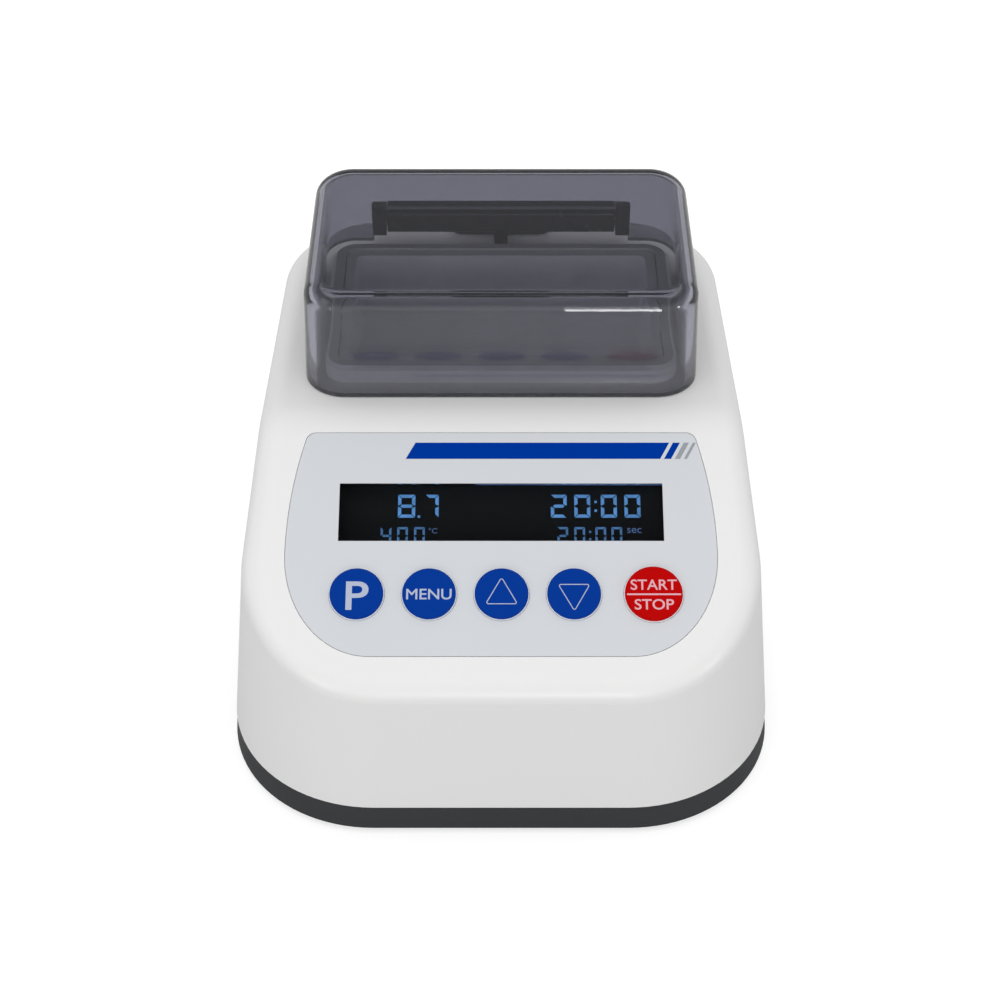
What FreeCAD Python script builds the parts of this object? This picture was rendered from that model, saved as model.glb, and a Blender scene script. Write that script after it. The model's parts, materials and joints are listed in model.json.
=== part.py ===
"""Dry bath incubator for a laboratory bench.

A white moulded case with a sloped key panel in front, and behind it a flat deck
that holds a heated metal well under a hinged, smoke-tinted lid.

Millimetres. X runs to the right, Y from the front to the rear, Z up. The origin is
the middle of the case's footprint, on the surface that the feet stand on.
"""
import FreeCAD, Part
import math
import os
from FreeCAD import Placement, Rotation, Vector

# Case: plan at the underside and at the deck, and heights above the feet
case_width = 130.6
case_depth = 150.0
case_rear_width = 121.8
front_corner_radius = 35.5
rear_corner_radius = 27.0
deck_width = 114.6
deck_rear_width = 110.2
deck_front_setback = 3.8
deck_rear_setback = 1.8
deck_front_corner_radius = 31.0
deck_rear_corner_radius = 24.0
foot_height = 1.4
deck_height = 73.3
tray_height = 7.5
panel_slope = 26.0
crease_from_front = 62.5
crease_radius = 22.0
rim_radius = 6.0
inner_rim_chamfer = 2.0
inner_corner_steps = 6
wall = 2.5

# Base tray
tray_inset = 0.25
tray_floor = 3.0
tray_edge_chamfer = 0.4
lip_height = 3.0
lip_thickness = 1.5
lip_clearance = 0.2
vent_count = 7
vent_width = 2.4
vent_length = 26.0
vent_pitch = 6.4
vent_from_front = 96.0

# Feet
foot_radius = 6.5
foot_socket = 1.0
foot_x = 39.0
foot_from_front = 27.0
foot_from_rear = 29.0

# Screws that close the case
front_case_screw = (51.5, 34.0)
rear_case_screw = (49.5, 22.0)
post_radius = 4.6
boss_radius = 4.0
post_top = 14.0
case_screw_radius = 1.5
case_screw_length = 16.0
case_head_radius = 2.8
case_head_height = 2.0
counterbore_depth = 4.0

# Collar and heated well
collar_width = 85.0
collar_from_front = 76.8
collar_from_rear = 22.8
collar_height = 4.5
collar_corner = 6.0
collar_edge_chamfer = 0.9
well_opening_width = 78.4
collar_end_wall = 2.9
well_opening_corner = 2.5
block_clearance = 0.3
block_rim_drop = 0.4
block_wall = 2.4
block_floor = 6.0
pocket_depth = 30.0
pocket_corner = 1.8
lug_size = 8.0
lug_thickness = 4.0
lug_drop = 2.2
lug_from_end = 10.3
well_screw_radius = 1.25
well_screw_length = 8.0

# Heater, sensor and insulation
heater_margin = 3.0
heater_thickness = 1.5
cutout_radius = 6.5
cutout_height = 5.2
cutout_flange_radius = 8.0
cutout_room = 1.5
cutout_flange_height = 1.2
cutout_leg_x = 2.6
cutout_leg_width = 2.4
cutout_leg_thickness = 0.6
probe_radius = 1.5
probe_depth = 20.0
probe_clearance = 0.1
probe_proud = 3.0
probe_x = -14.0
jacket_thickness = 4.0
jacket_clearance = 0.3
jacket_below_lugs = 1.0

# Lid
lid_from_front = 70.0
lid_from_rear = 18.9
lid_width = 93.4
lid_height = 27.3
lid_corner = 10.0
lid_edge_radius = 4.6
lid_wall = 2.4
lid_draft = 2.0
lid_gap = 0.3
rear_raise = 3.7
raise_from_rear = 30.0

# Lid hinge
hinge_from_rear = 17.0
hinge_height = 8.8
bar_half_length = 29.0
bar_depth = 7.0
bar_height = 7.2
bar_corner = 1.8
rib_width = 3.4
flange_half_width = 13.0
flange_length = 5.8
flange_from_rear = 6.6
flange_thickness = 2.0
rod_radius = 1.25
rod_fit = 0.01
ear_radius = 4.0
ear_thickness = 3.4
ear_gap = 0.3
ear_running_clearance = 0.05
ear_bore_depth = 2.9
notch_margin = 0.8
arm_rise = 1.0
arm_root = 0.6
arm_setback = 0.4
hinge_screw_x = 8.5
hinge_screw_radius = 1.2

# Control panel, measured down the slope from the crease with the deck
overlay_thickness = 0.5
overlay_clearance = 0.15
overlay_top = 3.9
overlay_bottom = 58.5
overlay_waist = 34.0
overlay_half_width = 49.0
overlay_side_radius = 107.0
overlay_corner_width = 19.5
overlay_top_corner = 2.5
window_width = 74.0
window_height = 14.1
window_down = 23.8
window_gap = 0.1
window_frame = 1.2
lcd_down = 24.6
lcd_width = 77.0
lcd_height = 22.0
lcd_thickness = 2.6
lcd_recess = 5.2
lcd_holder_margin = 1.2
key_down = 43.9
key_radius = 6.05
start_key_radius = 6.5
key_places = {"program": -32.5, "menu": -16.2, "up": 0.1, "down": 16.4, "start_stop": 34.3}
key_gap = 0.3
key_rise = 1.0
key_edge_chamfer = 0.35
key_flange = 1.2
key_flange_thickness = 1.0
key_stem_radius = 2.0
key_travel = 0.6

# Board behind the panel
board_thickness = 1.6
front_board_depth = 11.0
front_board_half_width = 46.0
front_board_top = 12.0
front_board_bottom = 52.0
front_board_corner = 9.0
front_post_radius = 2.4
front_post_x = 42.6
front_post_down = (15.8, 33.8)
front_screw_radius = 1.1
front_screw_length = 7.0
switch_size = 6.0
switch_body_height = 3.4
plunger_radius = 1.6
plunger_gap = 0.3
plunger_rise = 1.4
plunger_sink = 1.6

# Main board
main_board_half_width = 42.0
main_board_front = 40.0
main_board_from_rear = 26.0
standoff_height = 5.0
standoff_radius = 3.0
standoff_inset = 4.5
small_screw_radius = 1.1
small_screw_length = 5.0
small_head_radius = 2.2
small_head_height = 1.6

# Capacitors on the main board: x, distance from the rear, radius and height
capacitor_places = ((-30.0, 46.0, 5.0, 16.0), (-30.0, 59.0, 5.0, 16.0), (-18.0, 40.0, 3.2, 11.0))

# Chips on the main board: width, length, height, x and distance from the front
chip_places = (
    (10.0, 10.0, 1.6, -4.0, 74.0),
    (6.0, 5.0, 1.5, 14.0, 80.0),
    (5.0, 4.0, 1.5, 8.0, 88.0),
    (12.0, 12.0, 6.0, -4.0, 100.0),
    (4.0, 8.0, 2.2, -22.0, 72.0),
)

# Power transistor, its heat sink, and the buzzer
transistor_x = 26.0
transistor_from_front = 84.0
transistor_width = 10.0
transistor_thickness = 4.4
transistor_height = 15.0
sink_height = 18.0
sink_plate = 2.4
sink_fin_count = 6
sink_fin_pitch = 4.0
sink_fin_thickness = 1.4
sink_fin_length = 10.1
buzzer_x = 30.0
buzzer_from_front = 58.0
buzzer_radius = 6.0
buzzer_height = 7.0
buzzer_hole_radius = 1.0
buzzer_hole_depth = 3.0

# Rear sockets
rear_recess_half_width = 33.0
rear_recess_corner = 3.0
rear_recess_bottom = 12.5
rear_recess_top = 33.0
rear_recess_depth = 5.0
rear_panel_thickness = 2.5
socket_height = 22.5
inlet_x = -19.0
inlet_radius = 5.4
inlet_flange_radius = 6.9
inlet_flange_thickness = 1.4
inlet_length = 12.5
inlet_bore_radius = 2.8
inlet_bore_depth = 9.5
inlet_pin_radius = 1.0
inlet_pin_length = 8.5
nut_flats = 13.0
nut_thickness = 2.2
inlet_hole_clearance = 0.1
switch_x = 17.0
switch_frame_width = 21.0
switch_frame_height = 15.0
switch_bezel = 1.8
switch_body_width = 18.8
switch_body_tall = 12.8
switch_body_depth = 14.0
switch_hole_clearance = 0.1
blade_width = 4.8
blade_thickness = 0.8
blade_length = 6.0
rocker_width = 16.4
rocker_half = 4.6
rocker_angle = 11.0
rocker_axis_depth = 1.4
rocker_sunk_rise = 0.3
rocker_gap = 0.3
trunnion_radius = 1.1
trunnion_length = 0.7

# Leads
ribbon_width = 13.0
ribbon_thickness = 0.9
lead_radius = 0.8
lead_bend = 1.8
lead_hang = 71.0
lead_fall = 7.0
heater_lead_x = 10.0
heater_lead_spread = 2.0
rear_lead_spread = 2.4
ribbon_x = -14.0
ribbon_down = 47.0
ribbon_drop = 9.0

# Sockets for the leads on the main board
connector_height = 5.0
connector_width = 9.0
connector_length = 6.0
ribbon_socket_length = 5.0
ribbon_socket_margin = 1.0
ribbon_socket = 48.0
lead_socket = 62.0
rear_socket_from_rear = 33.0

# Cutters run on past a face by this, and two lengths closer than tiny are equal
overrun = 1.0
tiny = 0.01
# Share of a width that rounds its end and still leaves a short straight edge
end_round = 0.4975

# Places worked out from the sizes above
front_y = -case_depth / 2.0
rear_y = case_depth / 2.0
base_bottom = foot_height
deck_z = base_bottom + deck_height
parting_z = base_bottom + tray_height
floor_z = base_bottom + tray_floor
crease_y = front_y + crease_from_front
collar_length = case_depth - collar_from_front - collar_from_rear
well_y = front_y + collar_from_front + collar_length / 2.0
well_opening_length = collar_length - 2.0 * collar_end_wall
lug_spread = well_opening_length / 2.0 - lug_from_end
rear_socket = case_depth - rear_socket_from_rear
collar_top = deck_z + collar_height
hinge_y = rear_y - hinge_from_rear
hinge_z = deck_z + hinge_height
rear_panel_y = rear_y - rear_recess_depth
board_z = floor_z + standoff_height
board_top = board_z + board_thickness
panel_place = Placement(Vector(0, crease_y, deck_z), Rotation(Vector(1, 0, 0), panel_slope))


def between(low, high, share):
    return low + (high - low) * share


def box(x0, x1, y0, y1, z0, z1):
    return Part.makeBox(x1 - x0, y1 - y0, z1 - z0, Vector(x0, y0, z0))


def cylinder(radius, start, end):
    run = end - start
    return Part.makeCylinder(radius, run.Length, start, run)


def upright(radius, x, y, z0, z1):
    return cylinder(radius, Vector(x, y, z0), Vector(x, y, z1))


def rearward(radius, x, y0, y1):
    """Cylinder along Y at the height of the rear sockets."""
    return cylinder(radius, Vector(x, y0, socket_height), Vector(x, y1, socket_height))


def rounded_rectangle(width, length, radius, x=0.0, y=0.0, z=0.0):
    """Closed wire round the middle (x, y) with four equal corners."""
    hw = width / 2.0
    hl = length / 2.0
    corners = [(1, -1, 270), (1, 1, 0), (-1, 1, 90), (-1, -1, 180)]
    edges = []
    ends = []
    for sx, sy, start in corners:
        middle = Vector(x + sx * (hw - radius), y + sy * (hl - radius), z)
        points = []
        for turn in (0, 45, 90):
            angle = math.radians(start + turn)
            points.append(middle + Vector(math.cos(angle), math.sin(angle), 0) * radius)
        ends.append((points[0], points[2]))
        edges.append(Part.Arc(*points).toShape())
    for index, (_, leave) in enumerate(ends):
        arrive = ends[(index + 1) % 4][0]
        edges.insert(2 * index + 1, Part.makeLine(leave, arrive))
    return Part.Wire(edges)


def prism(wire, height):
    return Part.Face(wire).extrude(Vector(0, 0, height))


def rounded_block(width, length, radius, x, y, z0, z1):
    return prism(rounded_rectangle(width, length, radius, x, y, z0), z1 - z0)


def side_profile(points, x0, x1):
    """Solid from a closed outline of (y, z) points, drawn along X."""
    corners = [Vector(x0, y, z) for y, z in points]
    face = Part.Face(Part.makePolygon(corners + corners[:1]))
    return face.extrude(Vector(x1 - x0, 0, 0))


def edges_where(solid, test):
    return [edge for edge in solid.Edges if test(edge)]


def edges_at_height(solid, z):
    return edges_where(solid, lambda edge: all(abs(v.Z - z) < tiny for v in edge.Vertexes))


def edges_at_depth(solid, y):
    return edges_where(solid, lambda edge: all(abs(v.Y - y) < tiny for v in edge.Vertexes))


def joined(shapes):
    return shapes[0].fuse(shapes[1:]).removeSplitter()


def group(shapes):
    return Part.makeCompound(shapes)


def screw_from_below(head_radius, head_height, radius, length, x, y, seat):
    head = upright(head_radius, x, y, seat - head_height, seat)
    return joined([head, upright(radius, x, y, seat, seat + length)])


def on_panel(shape):
    """Moves a shape from the panel's own frame (Y up the slope, Z outward) to its place."""
    moved = shape.copy()
    moved.Placement = panel_place.multiply(moved.Placement)
    return moved


def facing_rear(width, tall, radius, x, z, y0, y1):
    """Rounded block drawn in the rear panel's plane, from y0 back to y1."""
    block = rounded_block(width, tall, radius, x, z, -y1, -y0)
    block.Placement = Placement(Vector(0, 0, 0), Rotation(Vector(1, 0, 0), 90))
    return block


def panel_point(x, up_slope, out):
    return panel_place.multVec(Vector(x, up_slope, out))


def four_places(front, rear):
    """Places on both sides: (x, distance from the front) and (x, distance from the rear)."""
    pairs = ((front[0], front_y + front[1]), (rear[0], rear_y - rear[1]))
    return [(sign * x, y) for x, y in pairs for sign in (-1, 1)]


# Places that several pieces share
case_screw_places = four_places(front_case_screw, rear_case_screw)
foot_places = four_places((foot_x, foot_from_front), (foot_x, foot_from_rear))
standoff_x = main_board_half_width - standoff_inset
standoff_places = four_places((standoff_x, main_board_front + standoff_inset),
                              (standoff_x, main_board_from_rear + standoff_inset))
front_post_places = [(sign * front_post_x, -down) for down in front_post_down for sign in (-1, 1)]
lug_x = well_opening_width / 2.0 - block_clearance + lug_size / 2.0
lug_places = [(sign * lug_x, well_y + side * lug_spread) for sign in (-1, 1) for side in (-1, 1)]
lug_top = deck_z - wall - lug_drop
counterbore_top = base_bottom + counterbore_depth
switch_top = -front_board_depth + switch_body_height
flange_rear = rear_y - flange_from_rear
hinge_screw_y = flange_rear - flange_length / 2.0
block_half_width = well_opening_width / 2.0 - block_clearance
block_half_length = well_opening_length / 2.0 - block_clearance
block_rim = collar_top - block_rim_drop
block_bottom = block_rim - pocket_depth - block_floor
heater_bottom = block_bottom - heater_thickness
jacket_bottom = heater_bottom - lip_clearance - jacket_thickness
jacket_top = lug_top - lug_thickness - small_head_height - jacket_below_lugs
probe_z = block_bottom + block_floor / 2.0
probe_mouth_y = well_y - block_half_length - probe_proud
lid_bottom = deck_z + lid_gap
lid_front = front_y + lid_from_front
lid_rear = rear_y - lid_from_rear
lid_length = lid_rear - lid_front
ear_start = bar_half_length + ear_gap
rocker_axis_y = rear_panel_y + switch_bezel - rocker_axis_depth
rocker_lean = math.radians(rocker_angle)
rocker_rise = rocker_axis_depth + rocker_sunk_rise
rocker_tip = (rocker_rise + rocker_half * math.sin(rocker_lean)) / math.cos(rocker_lean)
rocker_reach = math.hypot(rocker_tip, rocker_half)


def corner_edges(spot, start, end, steps):
    """Edges of a corner whose points spot(angle) gives: an arc, or as many straight steps as asked."""
    if not steps:
        return [Part.Arc(spot(start), spot((start + end) / 2.0), spot(end)).toShape()]
    angles = [between(start, end, step / steps) for step in range(steps + 1)]
    return [Part.makeLine(spot(a), spot(b)) for a, b in zip(angles, angles[1:])]


def plan_wire(z, inset=0.0, steps=0):
    """Plan outline of the case at height z, drafted between underside and deck."""
    share = (z - base_bottom) / deck_height
    half = between(case_width, deck_width, share) / 2.0
    rear_half = between(case_rear_width, deck_rear_width, share) / 2.0
    near = between(front_y, front_y + deck_front_setback, share)
    far = between(rear_y, rear_y - deck_rear_setback, share)
    near_radius = between(front_corner_radius, deck_front_corner_radius, share)
    far_radius = between(rear_corner_radius, deck_rear_corner_radius, share)
    near_middle = Vector(half - near_radius, near + near_radius, z)
    far_middle = Vector(rear_half - far_radius, far - far_radius, z)
    reach = far_middle - near_middle
    turn = math.atan2(reach.y, reach.x) - math.acos((near_radius - far_radius) / reach.Length)

    def near_spot(angle):
        return near_middle + Vector(math.cos(angle), math.sin(angle), 0) * (near_radius - inset)

    def far_spot(angle):
        return far_middle + Vector(math.cos(angle), math.sin(angle), 0) * (far_radius - inset)

    def flip(point):
        return Vector(-point.x, point.y, point.z)

    front = -math.pi / 2.0
    back = math.pi / 2.0
    edges = [Part.makeLine(flip(near_spot(front)), near_spot(front))]
    edges += corner_edges(near_spot, front, turn, steps)
    edges.append(Part.makeLine(near_spot(turn), far_spot(turn)))
    edges += corner_edges(far_spot, turn, back, steps)
    edges.append(Part.makeLine(far_spot(back), flip(far_spot(back))))
    edges += corner_edges(lambda angle: flip(far_spot(angle)), back, turn, steps)
    edges.append(Part.makeLine(flip(far_spot(turn)), flip(near_spot(turn))))
    edges += corner_edges(lambda angle: flip(near_spot(angle)), turn, front, steps)
    return Part.Wire(edges)


def drafted_body(z0, z1, inset=0.0, steps=0):
    return Part.makeLoft([plan_wire(z0, inset, steps), plan_wire(z1, inset, steps)], True, True)


def above_the_top(inset):
    """Everything above the panel slope, the rounded crease and the deck."""
    reach = case_depth
    slope = math.radians(panel_slope)
    radius = crease_radius - inset
    middle = Vector(0, crease_y + crease_radius * math.tan(slope / 2.0), deck_z - crease_radius)
    crease_end = middle + Vector(0, 0, radius)
    crease_middle = middle + Vector(0, -math.sin(slope / 2.0), math.cos(slope / 2.0)) * radius
    crease_start = middle + Vector(0, -math.sin(slope), math.cos(slope)) * radius
    foot = crease_start - Vector(0, math.cos(slope), math.sin(slope)) * reach
    far_end = crease_end + Vector(0, reach, 0)
    far_top = far_end + Vector(0, 0, reach)
    near_top = Vector(0, foot.y, far_top.z)
    outline = Part.Wire([
        Part.makeLine(foot, crease_start),
        Part.Arc(crease_start, crease_middle, crease_end).toShape(),
        Part.makeLine(crease_end, far_end),
        Part.makeLine(far_end, far_top),
        Part.makeLine(far_top, near_top),
        Part.makeLine(near_top, foot),
    ])
    outline.translate(Vector(-case_width, 0, 0))
    return Part.Face(outline).extrude(Vector(2.0 * case_width, 0, 0))


def looks_up(face):
    u0, u1, v0, v1 = face.ParameterRange
    return face.normalAt((u0 + u1) / 2.0, (v0 + v1) / 2.0).z > 0.5


def rim_edges(solid):
    """Edges where the panel or deck meets a wall."""
    rim = []
    for edge in solid.Edges:
        faces = solid.ancestorsOfType(edge, Part.Face)
        if len(faces) == 2 and looks_up(faces[0]) != looks_up(faces[1]):
            rim.append(edge)
    return rim


def case_form(z0, inset=0.0, steps=0):
    """The case's form from z0 up, drawn in by inset, with its rim still sharp."""
    return drafted_body(z0, deck_z + wall, inset, steps).cut(above_the_top(inset))


def overlay_wire(grow):
    """Outline of the panel sheet in the panel's frame, drawn out by grow."""
    top = -overlay_top + grow
    waist = -overlay_waist
    half = overlay_half_width + grow
    radius = overlay_side_radius + grow
    corner_width = overlay_corner_width + grow
    corner_height = overlay_bottom - overlay_waist + grow
    corner_x = half - corner_width
    bottom = waist - corner_height

    def side(y):
        return half - radius + math.sqrt(radius ** 2 - (y - waist) ** 2)

    def corner(sign):
        middle = Vector(sign * corner_x, waist, 0)
        low = Vector(sign * corner_x, bottom, 0)
        wide = Vector(sign * half, waist, 0)
        ellipse = Part.Ellipse(low, wide, middle)
        return Part.ArcOfEllipse(ellipse, 0.0, math.pi / 2.0).toShape()

    def flank(sign):
        places = (waist, (waist + top) / 2.0, top)
        return Part.Arc(*[Vector(sign * side(y), y, 0) for y in places]).toShape()

    edges = [
        Part.makeLine(Vector(-corner_x, bottom, 0), Vector(corner_x, bottom, 0)),
        corner(1),
        flank(1),
        Part.makeLine(Vector(side(top), top, 0), Vector(-side(top), top, 0)),
        flank(-1),
        corner(-1),
    ]
    return Part.Wire(Part.__sortEdges__(edges))


def overlay_form(grow, out0, out1):
    wire = overlay_wire(grow)
    wire.translate(Vector(0, 0, out0))
    form = prism(wire, out1 - out0)
    top = -overlay_top + grow

    def at_top_corner(edge):
        ends = [vertex.Point for vertex in edge.Vertexes]
        upright_edge = len(ends) == 2 and abs(ends[0].z - ends[1].z) > (out1 - out0) / 2.0
        return upright_edge and abs(ends[0].y - top) < tiny

    return form.makeFillet(overlay_top_corner, edges_where(form, at_top_corner))


def key_sizes():
    """Name, place and radius of each key."""
    for name, x in key_places.items():
        yield name, x, start_key_radius if name == "start_stop" else key_radius


def key_hole_radius(radius):
    return radius + key_gap


def make_top_housing():
    outer = case_form(parting_z)
    outer = outer.makeFillet(rim_radius, rim_edges(outer))
    inside = case_form(parting_z - overrun, wall, inner_corner_steps)
    shell = outer.cut(inside.makeChamfer(inner_rim_chamfer, rim_edges(inside)))

    collar = rounded_block(collar_width, collar_length, collar_corner, 0, well_y,
                           deck_z - wall, collar_top)
    collar = collar.makeChamfer(collar_edge_chamfer, edges_at_height(collar, collar_top))

    added = [collar]
    for x, y in case_screw_places:
        added.append(upright(boss_radius, x, y, post_top, deck_z).common(outer))
    for x, y in lug_places:
        added.append(upright(lug_size / 2.0, x, y, lug_top, deck_z - wall / 2.0))
    for x, y in front_post_places:
        post = cylinder(front_post_radius, Vector(x, y, -front_board_depth), Vector(x, y, -wall / 2.0))
        added.append(on_panel(post))
    added.append(box(-rear_recess_half_width - wall, rear_recess_half_width + wall,
                     rear_panel_y - rear_panel_thickness, rear_y,
                     rear_recess_bottom - wall, rear_recess_top + wall).common(outer))
    shell = joined([shell] + added)

    removed = [
        rounded_block(well_opening_width, well_opening_length, well_opening_corner, 0, well_y,
                      deck_z - 3.0 * wall, collar_top + wall),
        on_panel(overlay_form(overlay_clearance, -overlay_thickness, rim_radius)),
        on_panel(rounded_block(window_width + 2.0 * window_frame, window_height + 2.0 * window_frame,
                               window_frame, 0, -window_down, -2.0 * wall, 0)),
        facing_rear(2.0 * rear_recess_half_width, rear_recess_top - rear_recess_bottom, rear_recess_corner,
                    0, (rear_recess_top + rear_recess_bottom) / 2.0, rear_panel_y, rear_y + wall),
        rearward(inlet_radius + inlet_hole_clearance, inlet_x, rear_panel_y - 2.0 * wall, rear_y),
        box(switch_x - switch_body_width / 2.0 - switch_hole_clearance,
            switch_x + switch_body_width / 2.0 + switch_hole_clearance,
            rear_panel_y - 2.0 * wall, rear_y,
            socket_height - switch_body_tall / 2.0 - switch_hole_clearance,
            socket_height + switch_body_tall / 2.0 + switch_hole_clearance),
    ]
    for _, x, radius in key_sizes():
        hole = upright(key_hole_radius(radius), x, -key_down, -2.0 * wall, 0)
        removed.append(on_panel(hole))
    for x, y in case_screw_places:
        removed.append(upright(case_screw_radius, x, y, post_top, counterbore_top + case_screw_length))
    for x, y in lug_places:
        removed.append(upright(well_screw_radius, x, y, lug_top,
                               lug_top - lug_thickness + well_screw_length))
    for x, y in front_post_places:
        hole = cylinder(front_screw_radius, Vector(x, y, -front_board_depth),
                        Vector(x, y, front_screw_length - board_thickness - front_board_depth))
        removed.append(on_panel(hole))
    for sign in (-1, 1):
        removed.append(upright(hinge_screw_radius, sign * hinge_screw_x, hinge_screw_y,
                               deck_z - 2.0 * wall, deck_z))
    for cutter in removed:
        shell = shell.cut(cutter)
    return shell


def make_base_tray():
    outer = Part.makeLoft([plan_wire(base_bottom, tray_inset + tray_edge_chamfer),
                           plan_wire(base_bottom + tray_edge_chamfer, tray_inset),
                           plan_wire(parting_z, tray_inset)], True, True)
    inside = drafted_body(floor_z, parting_z + overrun, tray_inset + wall, inner_corner_steps)
    lip_inset = wall + lip_clearance
    lip = drafted_body(parting_z - lip_height, parting_z + lip_height, lip_inset, inner_corner_steps)
    lip = lip.cut(drafted_body(parting_z - lip_height - overrun, parting_z + lip_height + overrun,
                               lip_inset + lip_thickness, inner_corner_steps))
    boss_room = []
    for x, y in case_screw_places:
        boss_room.append(upright(boss_radius + lip_clearance, x, y, parting_z, post_top + overrun))
    lip = lip.cut(boss_room)
    room = box(-rear_recess_half_width - 2.0 * wall, rear_recess_half_width + 2.0 * wall,
               rear_panel_y - 2.0 * rear_panel_thickness, rear_y,
               rear_recess_bottom - wall - lip_clearance, rear_recess_top)
    lip = lip.cut(room)
    tray = outer.cut(inside)
    added = [lip]
    for x, y in case_screw_places:
        added.append(upright(post_radius, x, y, floor_z - tray_floor / 2.0, post_top))
    for x, y in standoff_places:
        added.append(upright(standoff_radius, x, y, floor_z - tray_floor / 2.0, board_z))
    tray = joined([tray] + added)
    removed = []
    for x, y in case_screw_places:
        removed.append(upright(case_head_radius + lip_clearance, x, y,
                               base_bottom - overrun, counterbore_top))
        removed.append(upright(case_screw_radius + lip_clearance, x, y, base_bottom, post_top + overrun))
    for x, y in standoff_places:
        removed.append(upright(small_screw_radius, x, y, board_z - small_screw_length, board_z + overrun))
    for x, y in foot_places:
        removed.append(upright(foot_radius, x, y, base_bottom - overrun, base_bottom + foot_socket))
    for index in range(vent_count):
        x = (index - (vent_count - 1) / 2.0) * vent_pitch
        removed.append(rounded_block(vent_width, vent_length, vent_width * end_round, x,
                                     front_y + vent_from_front, base_bottom - overrun, floor_z + overrun))
    for cutter in removed:
        tray = tray.cut(cutter)
    return tray


def make_rubber_feet():
    feet = []
    for x, y in foot_places:
        foot = upright(foot_radius, x, y, 0, base_bottom + foot_socket)
        feet.append(foot.makeChamfer(foot_height / 4.0, edges_at_height(foot, 0)))
    return group(feet)


def make_case_screws():
    return group([screw_from_below(case_head_radius, case_head_height, case_screw_radius,
                                   case_screw_length, x, y, counterbore_top)
                  for x, y in case_screw_places])


def make_overlay():
    sheet = overlay_form(0.0, -overlay_thickness, 0.0)
    opening = rounded_block(window_width + 2.0 * window_gap, window_height + 2.0 * window_gap,
                            window_gap, 0, -window_down, -overrun, overrun)
    sheet = sheet.cut(opening)
    for _, x, radius in key_sizes():
        sheet = sheet.cut(upright(key_hole_radius(radius), x, -key_down, -overrun, overrun))
    return on_panel(sheet)


def make_display_window():
    """Clear pane with a step behind it that the opening in the housing takes."""
    pane = rounded_block(window_width, window_height, window_gap, 0, -window_down, -overlay_thickness, 0)
    step = rounded_block(window_width + 2.0 * (window_frame - window_gap),
                         window_height + 2.0 * (window_frame - window_gap), window_frame - window_gap,
                         0, -window_down, -wall, -overlay_thickness)
    return on_panel(joined([pane, step]))


def make_lcd_glass():
    glass = rounded_block(lcd_width, lcd_height, window_gap, 0, -lcd_down,
                          -lcd_recess - lcd_thickness, -lcd_recess)
    return on_panel(glass)


def make_lcd_holder():
    """Light box under the glass, with a raised edge that grips it on all sides."""
    width = lcd_width + 2.0 * lcd_holder_margin
    height = lcd_height + 2.0 * lcd_holder_margin
    tub = rounded_block(width, height, lcd_holder_margin / 2.0, 0, -lcd_down,
                        -front_board_depth, -lcd_recess)
    room = rounded_block(lcd_width + 2.0 * window_gap, lcd_height + 2.0 * window_gap, window_gap,
                         0, -lcd_down, -lcd_recess - lcd_thickness, 0)
    return on_panel(tub.cut(room))


def front_board_outline(z):
    half = front_board_half_width
    top = -front_board_top
    bottom = -front_board_bottom
    cut = front_board_corner
    corners = [(-half + cut, bottom), (half - cut, bottom), (half, bottom + cut), (half, top),
               (-half, top), (-half, bottom + cut)]
    points = [Vector(x, y, z) for x, y in corners]
    return Part.makePolygon(points + points[:1])


def make_front_board():
    board = prism(front_board_outline(-front_board_depth - board_thickness), board_thickness)
    for x, y in front_post_places:
        board = board.cut(upright(front_screw_radius + window_gap, x, y,
                                  -front_board_depth - 2.0 * board_thickness, 0))
    return on_panel(board)


def make_front_board_screws():
    seat = -front_board_depth - board_thickness
    return group([on_panel(screw_from_below(small_head_radius, small_head_height, front_screw_radius,
                                            front_screw_length, x, y, seat))
                  for x, y in front_post_places])


def make_tact_switches():
    """Square switch bodies, each with a well for its plunger."""
    switches = []
    half = switch_size / 2.0
    for _, x, _ in key_sizes():
        body = box(x - half, x + half, -key_down - half, -key_down + half,
                   -front_board_depth, switch_top)
        well = upright(plunger_radius + plunger_gap, x, -key_down,
                       switch_top - plunger_sink - key_travel - plunger_gap, 0)
        switches.append(on_panel(body.cut(well)))
    return group(switches)


def make_plunger(x):
    return on_panel(upright(plunger_radius, x, -key_down, switch_top - plunger_sink,
                            switch_top + plunger_rise))


def make_key(x, radius):
    """Key cap with a bevelled upper edge, a flange that keeps it in, and a stem."""
    flange_top = -wall - key_gap
    cap = upright(radius, x, -key_down, flange_top, key_rise)
    cap = cap.makeChamfer(key_edge_chamfer, edges_at_height(cap, key_rise))
    flange = upright(radius + key_flange, x, -key_down, flange_top - key_flange_thickness, flange_top)
    stem = upright(key_stem_radius, x, -key_down, switch_top + plunger_rise, flange_top)
    return on_panel(joined([cap, flange, stem]))


def lug_block(z0, z1):
    """Lug plates beside the well, each with its outer end rounded."""
    plates = []
    for x, y in lug_places:
        inner = math.copysign(block_half_width - block_wall / 2.0, x)
        plates.append(upright(lug_size / 2.0, x, y, z0, z1))
        plates.append(box(min(x, inner), max(x, inner), y - lug_size / 2.0, y + lug_size / 2.0, z0, z1))
    return plates


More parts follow.
